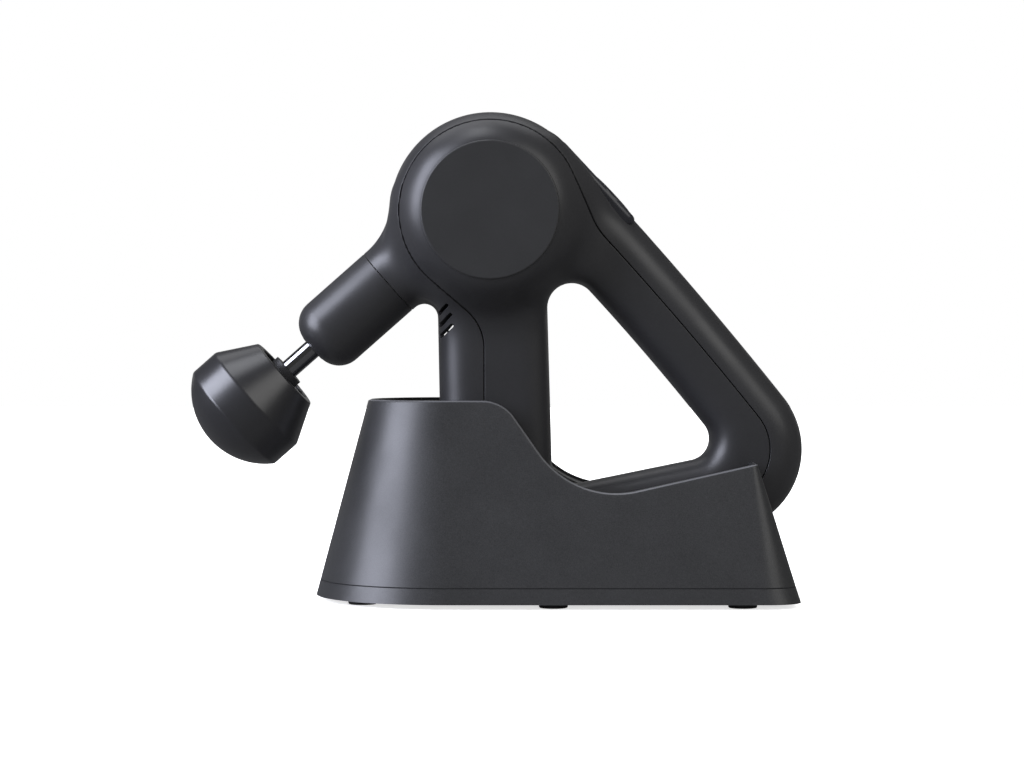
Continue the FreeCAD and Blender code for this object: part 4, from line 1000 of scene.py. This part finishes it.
def well_distance(points):
    """Distance to the gun's room in the dock: positive inside the room."""
    x, y, z = points.T
    ax, az = CORNER_LEG[:2]
    bx, bz = CORNER_LOW[:2]
    length = math.hypot(bx - ax, bz - az)
    ux, uz = (bx - ax) / length, (bz - az) / length
    along = np.clip((x - ax) * ux + (z - az) * uz, 0, length)
    reach = CORNER_LEG[2] + CRADLE_PLAY
    foot = np.hypot(x - ax - along * ux, z - az - along * uz) - reach
    above = (z - az) * ux - (x - ax) * uz > 0
    across = np.maximum(CRADLE_LEFT - x, x - bx - reach)
    side = np.where(above, across, np.maximum(foot, CRADLE_LEFT - x))
    return -np.maximum(side, np.abs(y) - CRADLE_HALF)


def inlet_distance(points):
    """Distance to the inlet's rounded window in the back wall: positive inside."""
    x, y, z = points.T
    over_x = np.abs(x - INLET[0]) - INLET[2] + INLET_CORNER
    over_z = np.abs(z - INLET[1]) - INLET[3] + INLET_CORNER
    away = np.hypot(np.maximum(over_x, 0), np.maximum(over_z, 0))
    inside = INLET_CORNER - away - np.minimum(np.maximum(over_x, over_z), 0)
    return np.where(y < -30, inside, OUTSIDE)


def dock_side(fields):
    """Front half of the dock's shell, cut by the given fields."""
    points, faces = dock_skin()
    for field in fields:
        points, faces = clipped(points, faces, lambda p, f=field: f(p) + WELL_LIP, 0.3)
    normals = mesh_normals(points, faces)
    normals[np.abs(points[:, 1]) < ON_PLANE, 1] = 0
    return thickened(points, unit(normals), faces, WELL_LIP, DOCK_SKIN)


piece = make_mesh("dock_front_skin", *dock_side([well_distance]), MATERIALS["dock_plastic"])
fit(piece, "dock", "dock_plastic", "dock_shell")
back_half = mirrored(*dock_side([well_distance, inlet_distance]), weld=False)
piece = make_mesh("dock_back_skin", *back_half, MATERIALS["dock_plastic"])
fit(piece, "dock", "dock_plastic", "dock_shell")


def painted_rim_strip():
    """Half of a strip of painted highlight: a lighter colour laid just off the bevel along the
    dock's upper edge, over the well too.
    """
    u = dock_columns()
    return row_mesh([dock_row(u, inset * RIM_ROUND - HIGHLIGHT_LIFT, drop * RIM_ROUND - HIGHLIGHT_LIFT)
                     for inset, drop in RIM_EDGE[1:3]])


# the strip of painted highlight along the dock's upper edge
points, faces = painted_rim_strip()
normals = mesh_normals(points, faces)
piece = make_mesh("dock_painted_highlight_strip", *mirrored(points, normals, [faces], weld=True),
                  MATERIALS["highlight_paint"])
fit(piece, "dock", "dock_plastic")

bevel = frame["nodes"]["dock_base_plate"].modifiers.new("soft_edges", "BEVEL")
bevel.width = 0.5 * MM
bevel.segments = 3
bevel.limit_method = "ANGLE"
bevel.angle_limit = math.radians(40)

# ------------------------------------------------------------- floor and light
REACH = 3.0
FLOOR_GLOW = 0.75           # the floor is a softly lit table, so shadows on it are faint
floor_mesh = bpy.data.meshes.new("floor")
floor_mesh.from_pydata([(-REACH, -REACH, 0), (REACH, -REACH, 0), (REACH, REACH, 0),
                        (-REACH, REACH, 0)], [], [(0, 1, 2, 3)])
floor = bpy.data.objects.new("floor", floor_mesh)
bpy.context.scene.collection.objects.link(floor)
floor_mesh.materials.append(plain("floor_finish", (0.93, 0.93, 0.93), 0.9, bump=0.02, patch=0.02,
                                  specular=0.0))
glow = floor_mesh.materials[0].node_tree.nodes["Principled BSDF"].inputs
glow["Emission Strength"].default_value = FLOOR_GLOW


def dim_in_reflections(material, gloss, bounce):
    """The floor stays pale but sends little light back onto the object."""
    nodes, links = material.node_tree.nodes, material.node_tree.links
    shader = nodes["Principled BSDF"]
    path = nodes.new("ShaderNodeLightPath")
    source = shader.inputs["Base Color"].links[0].from_socket
    for ray, level in (("Is Diffuse Ray", bounce), ("Is Glossy Ray", gloss)):
        mix = nodes.new("ShaderNodeMix")
        mix.data_type = "RGBA"
        links.new(path.outputs[ray], mix.inputs["Factor"])
        links.new(source, mix.inputs["A"])
        mix.inputs["B"].default_value = (level, level, level, 1)
        source = mix.outputs["Result"]
    links.new(source, shader.inputs["Base Color"])
    links.new(source, shader.inputs["Emission Color"])


dim_in_reflections(floor_mesh.materials[0], gloss=0.05, bounce=0.16)

SKY_LIGHT = 1.2             # strength of the white surroundings: as light, in reflections
SKY_IN_GLOSS = 0.09         # and as the camera sees them
SKY_SEEN = 1.0


def build_world():
    """White surroundings; only a dim room shows in reflections."""
    world = bpy.data.worlds.new("studio")
    bpy.context.scene.world = world
    world.use_nodes = True
    nodes, links = world.node_tree.nodes, world.node_tree.links
    path = nodes.new("ShaderNodeLightPath")
    plain_light = nodes.new("ShaderNodeValue")
    plain_light.outputs[0].default_value = SKY_LIGHT
    mixed = plain_light.outputs[0]
    for source, level in (("Is Glossy Ray", SKY_IN_GLOSS), ("Is Camera Ray", SKY_SEEN)):
        mix = nodes.new("ShaderNodeMix")
        links.new(path.outputs[source], mix.inputs["Factor"])
        links.new(mixed, mix.inputs["A"])
        mix.inputs["B"].default_value = level
        mixed = mix.outputs["Result"]
    links.new(mixed, nodes["Background"].inputs["Strength"])
    nodes["Background"].inputs["Color"].default_value = (1, 1, 1, 1)


def softbox(name, place, target, size, power, colour):
    light = bpy.data.lights.new(name, "AREA")
    light.shape = "RECTANGLE"
    light.size, light.size_y = size
    light.energy = power
    light.color = colour
    holder = bpy.data.objects.new(name, light)
    holder.location = place
    holder.visible_camera = False
    holder.rotation_euler = (Vector(target) - Vector(place)).to_track_quat("-Z", "Y").to_euler()
    bpy.context.scene.collection.objects.link(holder)


build_world()
softbox("key", (-1.14, -0.42, 0.66), (0, 0, 0.12), (0.90, 1.20), 35.0, (0.82, 0.85, 1.0))
softbox("overhead", (-0.17, 0.0, 1.1), (-0.1, 0, 0.12), (0.6, 0.35), 2.0, (0.93, 0.95, 1.0))
softbox("top_back", (-0.10, 0.75, 1.05), (0, 0, 0.12), (1.2, 0.5), 1.8, (0.96, 0.97, 1.0))
softbox("back", (0.0, 1.6, 0.30), (0, 0, 0.12), (2.4, 0.4), 0.8, (1.0, 1.0, 1.0))
softbox("front_right", (0.95, -0.85, 0.95), (0, 0, 0.12), (1.0, 1.0), 6.0, (1.0, 0.99, 0.97))

# ---------------------------------------------------------------------- camera
CAMERA_PLACE = (0.0064, -1.2, 0.1096)
CAMERA_TILT = 1.037         # degrees below level
camera = bpy.data.objects.new("camera", bpy.data.cameras.new("camera"))
bpy.context.scene.collection.objects.link(camera)
camera.data.lens = 102.9
camera.data.sensor_width = 36.0
camera.data.clip_start = 0.05
camera.data.clip_end = 20.0
camera.location = CAMERA_PLACE
camera.rotation_euler = (math.radians(90 - CAMERA_TILT), 0, 0)
bpy.context.scene.camera = camera
bpy.context.scene.view_settings.view_transform = "Standard"
